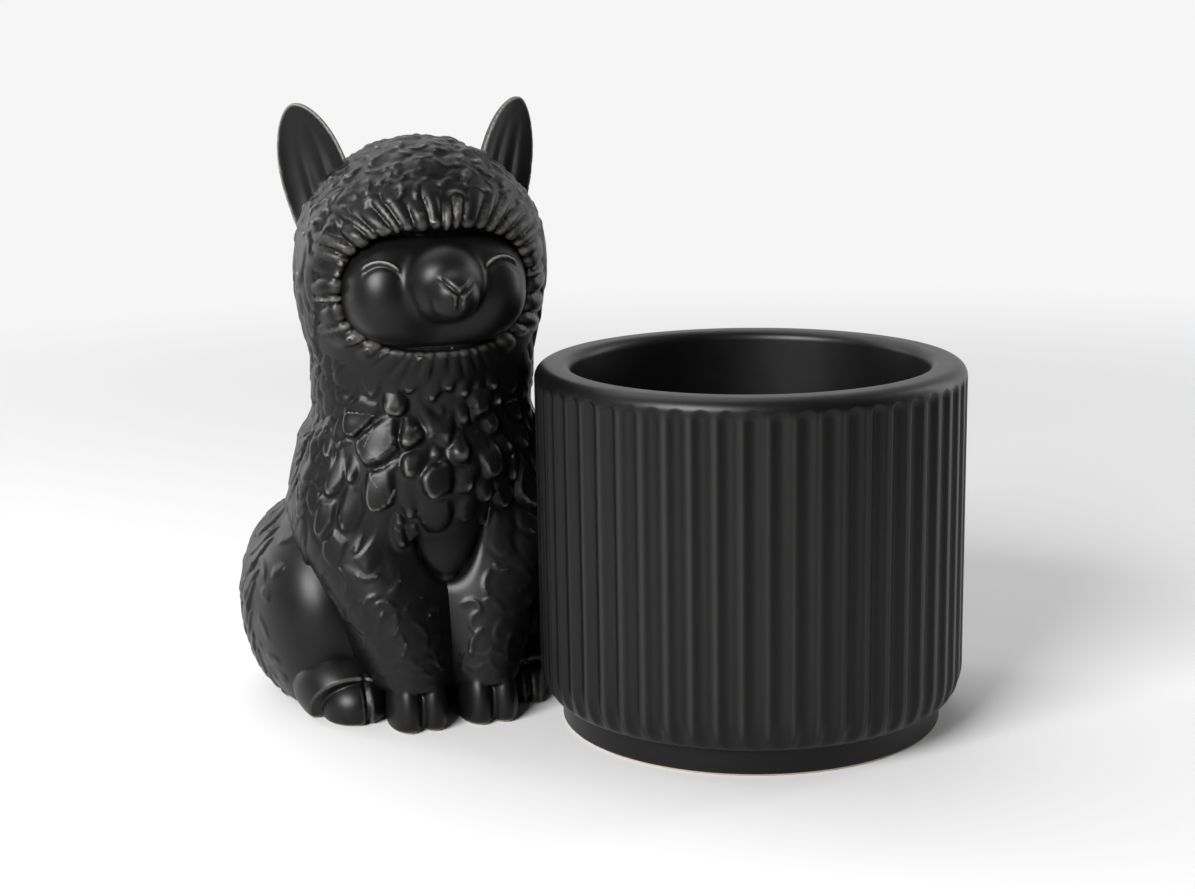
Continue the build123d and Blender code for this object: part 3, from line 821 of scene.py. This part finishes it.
def chest_scales(skin):
    """Teardrop scales of fleece packed over the chest, which run on over the tops of the legs
    and up under the chin. Small ones fill the gaps between the large ones."""
    rng = np.random.default_rng(11)
    x, _, z = skin.points.T
    front = (bearing(skin.points) < 70) & (np.abs(skin.normals[:, 2]) < 0.9)
    clear = (z > 62) | (bib_reach(x, z) > 1.2)
    free = front & clear & (z > 36) & (z < 106)
    scales = []
    for across, height, length, width in LARGE_SCALES:
        i = np.argmin((x - across) ** 2 + (z - height) ** 2 + 1e6 * ~front)
        sizes = dict(length=length, width=width, lift=1.7 * SCALE_LIFT, root=0.25, bend=0.0, tip=0.5)
        scales.append(Lock(skin.points[i], skin.normals[i], np.array([across / 60, 0, -1]), sizes))
        free &= ((skin.points - skin.points[i]) ** 2).sum(1) > (0.42 * (length + SCALE_WIDTH)) ** 2

    def fanned(p):
        return (p[0] / 60, 0, -1)

    sizes = (SCALE_SPACING, SCALE_LENGTH, SCALE_WIDTH, SCALE_LIFT)
    medium = comb(skin, free, fanned, rng, *sizes, **SCALE_SHAPE)
    for lock in medium:
        free &= ((skin.points - lock.at) ** 2).sum(1) > (0.7 * SCALE_WIDTH) ** 2
    free &= (z > 84) & (np.abs(x) < 18)
    return scales + medium + comb(skin, free, fanned, rng, **SMALL_SCALES)


def dress_body():
    rng = np.random.default_rng(12)
    low, high = (-BODY_WIDTH / 2, -14, 0), (BODY_WIDTH / 2, BODY_CENTRE_Y + BODY_DEPTH / 2, BODY_HEIGHT)
    skin = sculpt(body_form, low, high, BODY_SPACING)
    x, y, z = skin.points.T
    side = (bearing(skin.points) >= 58) & (np.abs(skin.normals[:, 2]) < 0.9)
    raise_locks(skin, comb(skin, side & (z > 4), lambda p: (0, 0.45, -1), rng, **FLANK_LOCKS))
    reach = bib_reach(x, z)
    ahead = (y < BODY_CENTRE_Y - 20) & (np.abs(x) < BIB_WIDTH)
    fade = np.clip((BIB_TOP + 2 - z) / 8, 0, 1) * ahead
    edge = np.clip((1 - reach) / 0.3, 0, 1)
    skin.relief += fade * BIB_LIFT * np.sqrt(edge * (2 - edge))
    skin.relief -= fade * BIB_GROOVE * np.exp(-(((reach - 1.1) / 0.1) ** 2))
    scales = chest_scales(skin)
    share = front_share(skin.points) * np.clip((CHIN_HEIGHT - z) / CHIN_FADE, 0, 1)
    pack_locks(skin, scales, SCALE_ROUNDING, SCALE_CREASE, share, SCALE_RIM)
    figure_piece("fleeced_body", skin, ["body_casting"], sharpest=0.75, soft_passes=1)
    return scales


scales = dress_body()


# Forelegs
# Two tapered legs pressed in a mould and worked into the chest, with faint wrinkles in the short fleece.
# Each ends in a hoof with two toes.

HOOF_SPACING = 22.4
HOOF_WIDTH = 18.6
HOOF_DEPTH = 21.0
HOOF_HEIGHT = 14.0
TOE_WIDTH_SHARE = 0.58
TOE_APART_SHARE = 0.21
TOE_HEIGHT_SHARE = 2.0  # of the hoof's height, before the floor cuts the lower part off
TOE_MIDDLE = (0.0, -0.5, 5.0)
FORELEG_HEIGHT = 84.0
FORELEG_TOP = (25.0, 26.0)
FORELEG_WIDTH = 30.5
FORELEG_DEPTH = 33.0
FORELEG_SPACING = 0.46
SHOULDER_LOCKS = dict(spacing=4.4, length=17.0, width=5.0, lift=1.2, turn=0.3, dish=0.05, root=0.4)
LEG_CREASES = dict(spacing=6.0, lift=0.34, bends=(3.0, 8.0), slopes=(0.5, 1.3))
LUTE_BLEND = 15.0  # how far the slip is worked out over a joint
# height, way from hoof to shoulder sideways and backwards, width and depth of each oval
FORELEG_SECTION_SHARES = (
    (0.00, 0.00, 0.00, 0.58, 0.60),
    (0.17, 0.03, 0.05, 0.66, 0.68),
    (0.35, 0.20, 0.22, 0.91, 0.86),
    (0.50, 0.46, 0.40, 1.08, 0.97),
    (0.64, 0.80, 0.62, 1.04, 1.00),
    (0.82, 1.00, 0.84, 0.92, 0.92),
    (1.00, 1.00, 1.00, 0.62, 0.62),
)


def luted(form, bed, blend):
    """A form whose edge is worked out smoothly over the bed that it is luted to."""
    return np.maximum(soft_union(form, bed, blend), form - blend)


def leg_column(p, side):
    height, out, back, width, depth = np.array(FORELEG_SECTION_SHARES).T
    hoof_x = HOOF_SPACING / 2
    x = side * (hoof_x + out * (FORELEG_TOP[0] - hoof_x))
    stops = height * FORELEG_HEIGHT
    column = oval_column(p, stops, x, back * FORELEG_TOP[1], width * FORELEG_WIDTH, depth * FORELEG_DEPTH)
    return soft_cut(column, np.maximum(HOOF_HEIGHT - 2 - p[:, 2], p[:, 2] - FORELEG_HEIGHT), 2.5)


def hoof_form(p, side):
    """Two toes side by side, rounded at the top and flat on the floor."""
    x = p[:, 0] - side * HOOF_SPACING / 2
    toes = []
    for toe in (-1, 1):
        shifted = np.stack([x - toe * TOE_APART_SHARE * HOOF_WIDTH, p[:, 1], p[:, 2]], -1)
        size = (TOE_WIDTH_SHARE * HOOF_WIDTH, HOOF_DEPTH, TOE_HEIGHT_SHARE * HOOF_HEIGHT)
        toes.append(egg(shifted, TOE_MIDDLE, size))
    return soft_cut(soft_union(toes[0], toes[1], 1.6), -p[:, 2], 1.5)


def dress_foreleg(name, side, scales):
    rng = np.random.default_rng(23 + side)

    def form(p):
        column = luted(leg_column(p, side), body_form(p), LUTE_BLEND)
        beside_bib = soft_cut(column, 9 * (1.04 - bib_reach(p[:, 0], p[:, 2])), 1.6)
        return soft_union(beside_bib, hoof_form(p, side), 0.6)

    low = (min(side * -1, side * 48), -14, 0)
    high = (max(side * -1, side * 48), 48, FORELEG_HEIGHT + 12)
    skin = sculpt(form, low, high, FORELEG_SPACING)
    z = skin.points[:, 2]
    sleeve = (z > HOOF_HEIGHT + 4) & (leg_column(skin.points, side) < 1.0)
    raise_creases(skin, sleeve & (z < 50), rng, **LEG_CREASES)
    shoulder = (bearing(skin.points) >= 58) & (z > 36) & (np.abs(skin.normals[:, 2]) < 0.9)
    raise_locks(skin, comb(skin, shoulder, lambda p: (0, 0.35, -1), rng, **SHOULDER_LOCKS))
    share = front_share(skin.points) * np.clip((z - 46) / 22, 0, 1)
    pack_locks(skin, scales, SCALE_ROUNDING, SCALE_CREASE, share, SCALE_RIM)
    for height in (18.5, 22.5):
        wave = height + 0.8 * np.sin(skin.points[:, 0] * 0.9 + height)
        ring = 0.2 * np.exp(-(((z - wave) / 0.7) ** 2)) * (leg_column(skin.points, side) < 1.0)
        skin.relief = np.maximum(skin.relief, ring)
    skin.relief *= np.clip(3 * (bib_reach(skin.points[:, 0], z) - 1.05), 0, 1)
    return figure_piece(name, skin, [name.replace("fleeced_", "")], soft_passes=2)


for side, hand in ((-1, "right"), (1, "left")):
    dress_foreleg(f"fleeced_{hand}_foreleg", side, scales)


# Haunches
# The folded thighs, pressed in halves and luted to the flanks. They are smooth in front,
# with a few long locks towards the back. The left one is luted to the wall of the pot.

HAUNCH_SIZE = (42.5, 74.0, 65.0)
HAUNCH_PLACE = (33.5, 48.0, 29.0)
HEEL_SIZE = (20.0, 40.0, 26.0)
HEEL_PLACE = (33.0, 35.0, 8.0)
HAUNCH_SPACING = 0.55
HAUNCH_LOCKS = dict(spacing=4.6, length=17.0, width=5.0, lift=1.3, dish=0.05, root=0.4)
HAUNCH_CREASES = dict(spacing=9.0, lift=0.4, bends=(4.0, 9.0), slopes=(0.7, 2.4))
TO_FIGURE = Matrix.Rotation(-radians(FIGURE_YAW), 4, "Z") @ Matrix.Translation(-Vector(FIGURE_PLACE))
POT_PLACE = TO_FIGURE @ Vector()


def pot_wall(p):
    """Field of the pot's outside, in the figure's frame."""
    return np.hypot(p[:, 0] - POT_PLACE.x, p[:, 1] - POT_PLACE.y) - POT_RADIUS


def haunch_egg(p, side):
    """Field of a thigh, with the heel that is folded under it."""
    thigh = egg(p, (side * HAUNCH_PLACE[0],) + HAUNCH_PLACE[1:], HAUNCH_SIZE)
    heel = egg(p, (side * HEEL_PLACE[0],) + HEEL_PLACE[1:], HEEL_SIZE)
    return soft_union(thigh, heel, 8.0)


def dress_haunch(name, side):
    rng = np.random.default_rng(37 + side)

    def form(p):
        thigh = luted(haunch_egg(p, side), body_form(p), 6.0)
        return soft_cut(np.maximum(thigh, 0.6 - pot_wall(p)), -p[:, 2], 3.0)

    reach = HAUNCH_PLACE[0] + HAUNCH_SIZE[0] / 2
    low = (min(side * 8, side * reach), 8, 0)
    high = (max(side * 8, side * reach), 90, 68)
    skin = sculpt(form, low, high, HAUNCH_SPACING)
    _, y, z = skin.points.T
    outer = haunch_egg(skin.points, side) < 0.6
    raise_locks(skin, comb(skin, outer & (y > 43), lambda p: (0, 0.5, -1), rng, **HAUNCH_LOCKS))
    raise_creases(skin, outer & (y > 26) & (y < 56), rng, **HAUNCH_CREASES)
    return figure_piece(name, skin, [name.replace("fleeced_", "")], soft_passes=2)


for side, hand in ((-1, "right"), (1, "left")):
    dress_haunch(f"fleeced_{hand}_haunch", side)


# Hind feet
# A smooth sock that comes out from under the thigh, and a rounded foot with a split toe.
# The left foot is luted to the pot.

SOCK_SIZE = (27.0, 34.0, 26.0)
SOCK_PLACE = (31.5, 22.5, 9.0)
SOCK_THICKNESS = 0.9
SOCK_EDGE = (11.0, 6.5)  # where the sock ends over the foot, backwards and up
SOCK_SLANT = 35.0  # degrees its edge leans back
TOE_SIZE = (21.0, 23.0, 19.0)
TOE_PLACE = (27.8, 13.0, 4.5)
FOOT_SPACING = 0.4


def dress_hind_foot(name, side):
    def form(p):
        toe = egg(p, (side * TOE_PLACE[0],) + TOE_PLACE[1:], TOE_SIZE)
        sock = egg(p, (side * SOCK_PLACE[0],) + SOCK_PLACE[1:], SOCK_SIZE)
        sock = soft_union(sock, toe - SOCK_THICKNESS, 6.0)
        slant = radians(SOCK_SLANT)
        ahead = (SOCK_EDGE[0] - p[:, 1]) * cos(slant) + (SOCK_EDGE[1] - p[:, 2]) * sin(slant)
        sock = soft_cut(sock, ahead, 0.9)
        foot = np.maximum(soft_union(sock, toe, 0.5), 0.6 - pot_wall(p))
        return soft_cut(foot, -p[:, 2], 1.5)

    low = (min(side * 14, side * 51), 0, 0)
    high = (max(side * 14, side * 51), 44, 26)
    skin = sculpt(form, low, high, FOOT_SPACING)
    x, y, z = skin.points.T
    split = np.exp(-(((x - side * (TOE_PLACE[0] - 2)) / 0.9) ** 2)) * np.clip((8 - y) / 4, 0, 1)
    skin.relief -= 1.3 * split
    return figure_piece(name, skin, [name.replace("glazed_", "")], soft_passes=1)


for side, hand in ((-1, "right"), (1, "left")):
    dress_hind_foot(f"glazed_{hand}_hind_foot", side)


# Tail
# A short tuft, rolled in the hand and luted to the rump.

TAIL_SIZE = (19.0, 18.0, 30.0)
TAIL_PLACE = (0.0, 96.0, 24.0)
TAIL_LOCKS = dict(spacing=4.5, length=14.0, width=5.0, lift=1.0, dish=0.05, root=0.5)


def dress_tail():
    rng = np.random.default_rng(5)

    def form(p):
        return luted(egg(p, TAIL_PLACE, TAIL_SIZE), body_form(p), 5.0)

    skin = sculpt(form, (-14, 80, 4), (14, 108, 44), 0.5)
    free = skin.points[:, 1] > 88
    raise_locks(skin, comb(skin, free, lambda p: (0, 0.2, -1), rng, **TAIL_LOCKS))
    return figure_piece("fleeced_tail", skin, ["tail"], soft_passes=2)


dress_tail()


# Hood
# The hollow head casting, its crown covered with low curls. A thick topknot hangs over the brow in strands,
# and short tufts ring the opening in which the face is set.

HEAD_TURN = -3.0  # degrees, the head against the body
HEAD_SHIFT = -0.6
HOOD_SIZE = (75.0, 68.0, 82.0)
HOOD_PLACE = (0.0, 19.0, 136.5)
HOOD_SPACING = 0.55
TOPKNOT_SIZE = (73.0, 62.0, 67.0)
TOPKNOT_PLACE = (0.0, 14.5, 143.0)
TOPKNOT_BLEND = 3.0
OPENING_PLACE = (0.0, 135.2)
OPENING_HALF = (28.3, 18.8)
OPENING_SQUARENESS = 2.6
OPENING_RECESS = 3.5
NECK_BLEND = 5.0
CURL_ROUNDING = 3.2
CURL_CREASE = 0.2
CURLS = dict(spacing=7.0, length=13.0, width=8.0, lift=0.7, vary=0.4, root=0.8, tip=0.0)
CROWN_CREASES = dict(spacing=4.6, lift=0.5, bends=(2.5, 6.0), slopes=(0.5, 1.4))
HOOD_STRANDS = dict(spacing=5.0, length=24.0, width=5.6, lift=1.2, turn=0.22, dish=0.05, root=0.35)
# where each row of tufts starts and ends round the opening, their width, length, lift and bluntness
TUFT_ROWS = (
    (0.05, 0.45, 3.5, 15.0, 1.7, 0.25),
    (0.44, 0.64, 4.5, 10.5, 1.7, 0.45),
    (0.86, 1.06, 4.5, 10.5, 1.7, 0.45),
    (0.64, 0.86, 3.2, 10.5, 0.5, 0.05),
)


def head_on_neck():
    """Turns the head about the upright middle of the hood."""
    middle = Vector((0, HOOD_PLACE[1], 0))
    turn = Matrix.Rotation(radians(HEAD_TURN), 4, "Z")
    return Matrix.Translation(middle + Vector((HEAD_SHIFT, 0, 0))) @ turn @ Matrix.Translation(-middle)


def on_body(p):
    """Points of the head in the body's frame."""
    seat = np.array(head_on_neck())
    return p @ seat[:3, :3].T + seat[:3, 3]


def opening_reach(x, z):
    """1 on the outline of the face opening, less inside it."""
    u = np.abs(x - OPENING_PLACE[0]) / OPENING_HALF[0]
    v = np.abs(z - OPENING_PLACE[1]) / OPENING_HALF[1]
    return (u**OPENING_SQUARENESS + v**OPENING_SQUARENESS) ** (1 / OPENING_SQUARENESS)


def hood_form(p):
    outside = (1 - opening_reach(p[:, 0], p[:, 2])) * OPENING_HALF[1]
    outside = np.where(p[:, 1] < HOOD_PLACE[1], outside, -OPENING_HALF[1])
    hood = egg(p, HOOD_PLACE, HOOD_SIZE)
    fleece = soft_union(hood, egg(p, TOPKNOT_PLACE, TOPKNOT_SIZE), TOPKNOT_BLEND)
    carved = soft_union(soft_cut(fleece, outside, 2.0), hood + OPENING_RECESS, 1.0)
    return luted(carved, body_form(on_body(p)), NECK_BLEND)


def ring_place(x, z):
    """Place of each point round the face opening: along it from the animal's left, and out from it."""
    angles = np.radians(np.arange(361))
    reach = 1 / opening_reach(OPENING_PLACE[0] + np.cos(angles), OPENING_PLACE[1] + np.sin(angles))
    steps = np.hypot(np.diff(reach * np.cos(angles)), np.diff(reach * np.sin(angles)))
    run = np.concatenate([[0], np.cumsum(steps)])
    angle = np.arctan2(z - OPENING_PLACE[1], x - OPENING_PLACE[0]) % tau
    out = np.hypot(x - OPENING_PLACE[0], z - OPENING_PLACE[1]) - np.interp(angle, angles, reach)
    return np.interp(angle, angles, run) / run[-1], out, run[-1]


def ring_tufts(skin, rng, start, end, width, length, lift, blunt):
    """Tufts side by side round the opening, from one share of the way round to another.
    A blunt tuft is as thick at its tip as in its middle."""
    x, y, z = skin.points.T
    along, out, whole = ring_place(x, z)
    count = round((end - start) * whole / width)
    ends = np.linspace(start, end, count + 1)
    ends[1:-1] += rng.uniform(-0.3, 0.3, count - 1) * (end - start) / count
    for a, b in zip(ends[:-1], ends[1:]):
        long, sway = length * rng.uniform(0.6, 1.35), rng.uniform(-1.3, 1.3)
        off = (along - (a + b) / 2 + 0.5) % 1 - 0.5
        near = (np.abs(off) < 2.0 * (b - a)) & (out < long) & (y < HOOD_PLACE[1])
        t = out[near]
        v = off[near] * 2 / (b - a) + sway * (np.clip(t, 0, None) / long) ** 2
        round_side = np.sqrt(np.clip(1 - (v * (1.02 + 0.25 * t / long)) ** 2, 0, 1))
        body = np.clip((t + 2.0) / (0.4 * long + 2.0), 0, 1)
        body = blunt + (1 - blunt) * np.sin(body * tau / 4)
        fade = np.clip(1.4 * (1 - t / long), 0, 1)
        height = lift * rng.uniform(0.7, 1.2) * round_side * body * fade**2 * (3 - 2 * fade)
        skin.relief[near] = np.maximum(skin.relief[near], height)


def dress_hood(scales):
    rng = np.random.default_rng(71)
    middle, half = np.array(HOOD_PLACE), np.array(HOOD_SIZE) / 2
    low, high = middle - half - (3, 8, 4), middle + half + (3, 3, 2)
    skin = sculpt(hood_form, low, high, HOOD_SPACING)
    x, y, z = skin.points.T
    _, out, _ = ring_place(x, z)
    front = y < 18
    crown = (z > 150) & ((out > 8) | ~front)
    sides = (z <= 158) & (~front | (np.abs(x) > 35))
    raise_locks(skin, comb(skin, sides, lambda p: (0, 0.15, -1), rng, **HOOD_STRANDS))
    curls = comb(skin, crown, lambda p: rng.normal(size=3), rng, **CURLS)
    over_brow = np.where(front, np.clip((out - 2) / 9, 0, 1), 1.0)
    pack_locks(skin, curls, CURL_ROUNDING, CURL_CREASE, over_brow * (z > 148))
    skin.relief = soften(skin, skin.relief, 4)
    raise_creases(skin, crown, rng, **CROWN_CREASES)
    for row in TUFT_ROWS:
        ring_tufts(skin, rng, *row)
    untwist = np.array(head_on_neck().inverted())
    spin, shift = untwist[:3, :3], untwist[:3, 3]
    moved = [
        Lock(spin @ lock.at + shift, spin @ lock.facing, spin @ lock.along, lock.sizes)
        for lock in scales
    ]
    share = front_share(on_body(skin.points)) * np.clip((CHIN_HEIGHT - z) / CHIN_FADE, 0, 1)
    pack_locks(skin, moved, SCALE_ROUNDING, SCALE_CREASE, share, SCALE_RIM)
    skin.relief -= np.clip((egg(skin.points, HOOD_PLACE, HOOD_SIZE) - 2) / 3, 0, 1) ** 2
    return figure_piece("fleeced_hood", skin, ["head_casting"], head=True, sharpest=0.75, soft_passes=1)


dress_hood(scales)


# Face
# Smooth and round-cheeked, with raised closed eyes and a ball of a muzzle, scraped clean before glazing.

FACE_SPACING = 0.33
FACE_PLACE = (0.0, 6.0, 134.5)
FACE_SIZE = (82.0, 41.0, 60.0)
FACE_GAP = 0.3  # between the face and the edge of the hood
FACE_ROUNDING = 8.0
CHEEK_PLACE = (15.0, -1.0, 134.0)
CHEEK_SIZE = (33.0, 35.0, 37.0)
CHEEK_BLEND = 5.0
MUZZLE_PLACE = (0.4, -16.0, 138.2)
MUZZLE_SIZE = 22.8
SNOUT_PLACE = (1.4, -25.0, 135.6)
SNOUT_SIZE = 14.6
EYE_PLACE = (17.8, 144.6)
EYE_HALF_WIDTH = 5.0
EYE_DROP = 2.2
NOSE_PLACE = (1.6, 136.4)


def face_form(p):
    outline = (opening_reach(p[:, 0], p[:, 2]) - 1) * OPENING_HALF[1] + FACE_GAP
    face = egg(p, FACE_PLACE, FACE_SIZE)
    for side in (-1, 1):
        face = soft_union(face, egg(p, (side * CHEEK_PLACE[0],) + CHEEK_PLACE[1:], CHEEK_SIZE), CHEEK_BLEND)
    face = soft_cut(face, outline, FACE_ROUNDING)
    face = soft_union(face, egg(p, MUZZLE_PLACE, (MUZZLE_SIZE,) * 3), 3.2)
    face = soft_union(face, egg(p, SNOUT_PLACE, (SNOUT_SIZE,) * 3), 2.0)
    return soft_cut(face, p[:, 1] - 6, 1.0)


def stroke(x, z, start, end, half_width):
    """Softly edged line on the face, from 0 beside it to 1 along its middle."""
    ax, az = start
    bx, bz = end[0] - ax, end[1] - az
    t = np.clip(((x - ax) * bx + (z - az) * bz) / (bx**2 + bz**2), 0, 1)
    away = np.hypot(x - ax - t * bx, z - az - t * bz)
    return np.exp(-((away / half_width) ** 2))


def dress_face():
    skin = sculpt(face_form, (-33, -34, 110), (33, 7, 158), FACE_SPACING)
    x, y, z = skin.points.T
    facing = skin.normals[:, 1] < -0.1
    for side in (-1, 1):
        off = (x - side * EYE_PLACE[0]) / EYE_HALF_WIDTH
        above = z - (EYE_PLACE[1] - EYE_DROP * off**2)
        above = above / np.sqrt(1 + (2 * EYE_DROP / EYE_HALF_WIDTH * off) ** 2)
        fade = np.clip((1.12 - np.abs(off)) / 0.3, 0, 1) * facing
        skin.relief += 0.7 * fade * np.exp(-((above / 0.5) ** 2))
        skin.relief -= 0.35 * fade * np.exp(-(((above + 1.1) / 0.7) ** 2))
    nose = np.zeros(len(x))
    for end in ((-4.4, 4.0), (4.6, 3.2), (-0.2, -3.6)):
        tip = (NOSE_PLACE[0] + end[0], NOSE_PLACE[1] + end[1])
        nose = np.maximum(nose, stroke(x, z, NOSE_PLACE, tip, 0.8))
    skin.relief -= 0.7 * nose * (y < -18)
    return figure_piece("smooth_face", skin, [], head=True, soft_passes=1)


dress_face()


# Ears
# Leaf-shaped cups pressed by hand, with a rolled edge and two folds down the hollow, set into the crown.

EAR_LENGTH = 40.0
EAR_WIDTH = 23.0
EAR_TIP = (35.0, 30.0, 188.5)
EAR_LEAN = 16.0  # degrees outwards
EAR_TURN = 33.0  # degrees the cup faces outwards
EAR_WIDEST_SHARE = 0.62  # of the way down from the tip
EAR_FOLDS = ((0.3, 1.0), (-0.25, 0.8))  # place across and strength of each fold
EAR_FOLD_WIDTH = 0.17
EAR_SPACING = 0.35


def ear_form(p, seat):
    """Field of one ear. The seat takes the head's frame to the ear's, which starts at the tip."""
    q = p @ np.array(seat.to_3x3()).T + np.array(seat.translation)
    down = -q[:, 2] / EAR_LENGTH
    rounding = np.clip(1 - np.clip(down, 0.002, None) / EAR_WIDEST_SHARE, 0, 1)
    lower = np.clip(down / EAR_WIDEST_SHARE - 1, 0, 1)
    half = EAR_WIDTH / 2 * ((1 - rounding**2) ** 0.56 - 0.25 * lower**2)
    across = np.clip(np.abs(q[:, 0]) / half, 0, 1.5)
    bowl = np.sqrt(np.clip(1 - across**2, 0, 1))
    depth = smooth_through((0, 0.15, 0.6, 1.1), (0.5, 2.4, 4.4, 6.0), down)
    back = q[:, 1] - depth * bowl - 0.9
    hollow = smooth_through((0, 0.1, 0.5, 0.9, 1.1), (-0.2, 0.8, 3.0, 2.2, -1.0), down)
    fold = 0.0
    for at, strength in EAR_FOLDS:
        fold = fold + strength * np.exp(-(((q[:, 0] / half - at) / EAR_FOLD_WIDTH) ** 2))
    cup = hollow * np.clip(1 - across**3, 0, 1) - 2.4 * fold * np.clip(down - 0.15, 0, 0.6) - 0.9
    front = cup - q[:, 1]
    outline = (np.abs(q[:, 0]) - half) * 0.9
    ends = np.maximum(q[:, 2], -q[:, 2] - 1.15 * EAR_LENGTH)
    return soft_cut(soft_cut(soft_cut(back, front, 1.2), outline, 1.6), ends, 1.0)


def dress_ear(name, side):
    seat = (
        Matrix.Translation((side * EAR_TIP[0], EAR_TIP[1], EAR_TIP[2]))
        @ Matrix.Rotation(radians(side * EAR_TURN), 4, "Z")
        @ Matrix.Rotation(radians(side * EAR_LEAN), 4, "Y")
    ).inverted()
    low = (min(side * 8, side * 48), 12, 140)
    high = (max(side * 8, side * 48), 44, 192)
    skin = sculpt(lambda p: ear_form(p, seat), low, high, EAR_SPACING)
    return figure_piece(name, skin, [name.replace("glazed_", "")], head=True, soft_passes=1)


for side, hand in ((-1, "right"), (1, "left")):
    dress_ear(f"glazed_{hand}_ear", side)


# Floor and light
# A pale floor that fades into the lit background, a broad light from above, a softbox in front on the left,
# and a weak strip light on either side.

FLOOR_HALF = 6000.0
FLOOR_NEAR = 380.0  # where the floor begins to fade into the background
FLOOR_FAR = 1000.0
BACKGROUND = 0.92
SHADE = 0.07  # brightness of the room behind the camera


def surround(tree, direction):
    """Brightness of the set in a direction: a lit background behind the planter, a dim room before it."""
    depth = add(tree, "ShaderNodeSeparateXYZ", {0: direction}).outputs["Y"]
    ends = {"From Min": -0.5, "From Max": 0.75, "To Min": SHADE, "To Max": BACKGROUND}
    return add(tree, "ShaderNodeMapRange", {"Value": depth, **ends}).outputs["Result"]


floor_mesh = bpy.data.meshes.new("floor")
corners = [(x * FLOOR_HALF * MM, y * FLOOR_HALF * MM, 0) for x, y in ((-1, -1), (1, -1), (1, 1), (-1, 1))]
floor_mesh.from_pydata(corners, [], [(0, 1, 2, 3)])
floor = bpy.data.objects.new("floor", floor_mesh)
bpy.context.scene.collection.objects.link(floor)
paper = bpy.data.materials.new("white_paper")
paper.use_nodes = True
sheet = paper.node_tree
sheet.nodes["Principled BSDF"].inputs["Base Color"].default_value = linear("#bdbdbd")
sheet.nodes["Principled BSDF"].inputs["Roughness"].default_value = 0.7
spot = add(sheet, "ShaderNodeTexCoord").outputs["Object"]
away = add(sheet, "ShaderNodeVectorMath", {0: spot}, operation="LENGTH").outputs["Value"]
outwards = add(sheet, "ShaderNodeVectorMath", {0: spot}, operation="NORMALIZE").outputs["Vector"]
shine = {"Color": linear("#ffffff"), "Strength": surround(sheet, outwards)}
glow = add(sheet, "ShaderNodeEmission", shine).outputs[0]
fade = add(
    sheet,
    "ShaderNodeMapRange",
    {"Value": away, "From Min": FLOOR_NEAR * MM, "From Max": FLOOR_FAR * MM},
    interpolation_type="SMOOTHSTEP",
).outputs["Result"]
mixed = add(sheet, "ShaderNodeMixShader", {0: fade, 1: sheet.nodes["Principled BSDF"].outputs[0], 2: glow})
sheet.links.new(mixed.outputs[0], sheet.nodes["Material Output"].inputs["Surface"])
floor_mesh.materials.append(paper)

world = bpy.data.worlds.new("studio")
world.use_nodes = True
sides = world.node_tree
direction = add(sides, "ShaderNodeTexCoord").outputs["Generated"]
sides.links.new(surround(sides, direction), sides.nodes["Background"].inputs["Strength"])
sides.nodes["Background"].inputs["Color"].default_value = linear("#ffffff")
bpy.context.scene.world = world

sky = bpy.data.lights.new("overhead", "SUN")
sky.energy = 1.1
sky.angle = radians(50)
overhead = bpy.data.objects.new("overhead", sky)
overhead.matrix_world = Matrix.Rotation(radians(-20), 4, "Y") @ Matrix.Rotation(radians(-25), 4, "X")
bpy.context.scene.collection.objects.link(overhead)

# name, place, what it is aimed at, width and height, power in watts
LAMPS = (
    ("softbox", (-620, -800, 660), (-90, 0, 110), (600, 480), 31),
    ("left_strip", (-900, 520, 420), (-90, 20, 110), (200, 900), 3.5),
    ("right_strip", (900, 420, 420), (20, 0, 90), (200, 900), 3.5),
)
for name, place, aim, size, power in LAMPS:
    light = bpy.data.lights.new(name, "AREA")
    light.shape = "RECTANGLE"
    light.size, light.size_y = size[0] * MM, size[1] * MM
    light.energy = power
    lamp = bpy.data.objects.new(name, light)
    facing = (Vector(aim) - Vector(place)).to_track_quat("-Z", "Y").to_matrix().to_4x4()
    lamp.matrix_world = Matrix.Translation(Vector(place) * MM) @ facing
    bpy.context.scene.collection.objects.link(lamp)

bpy.context.scene.view_settings.view_transform = "Standard"
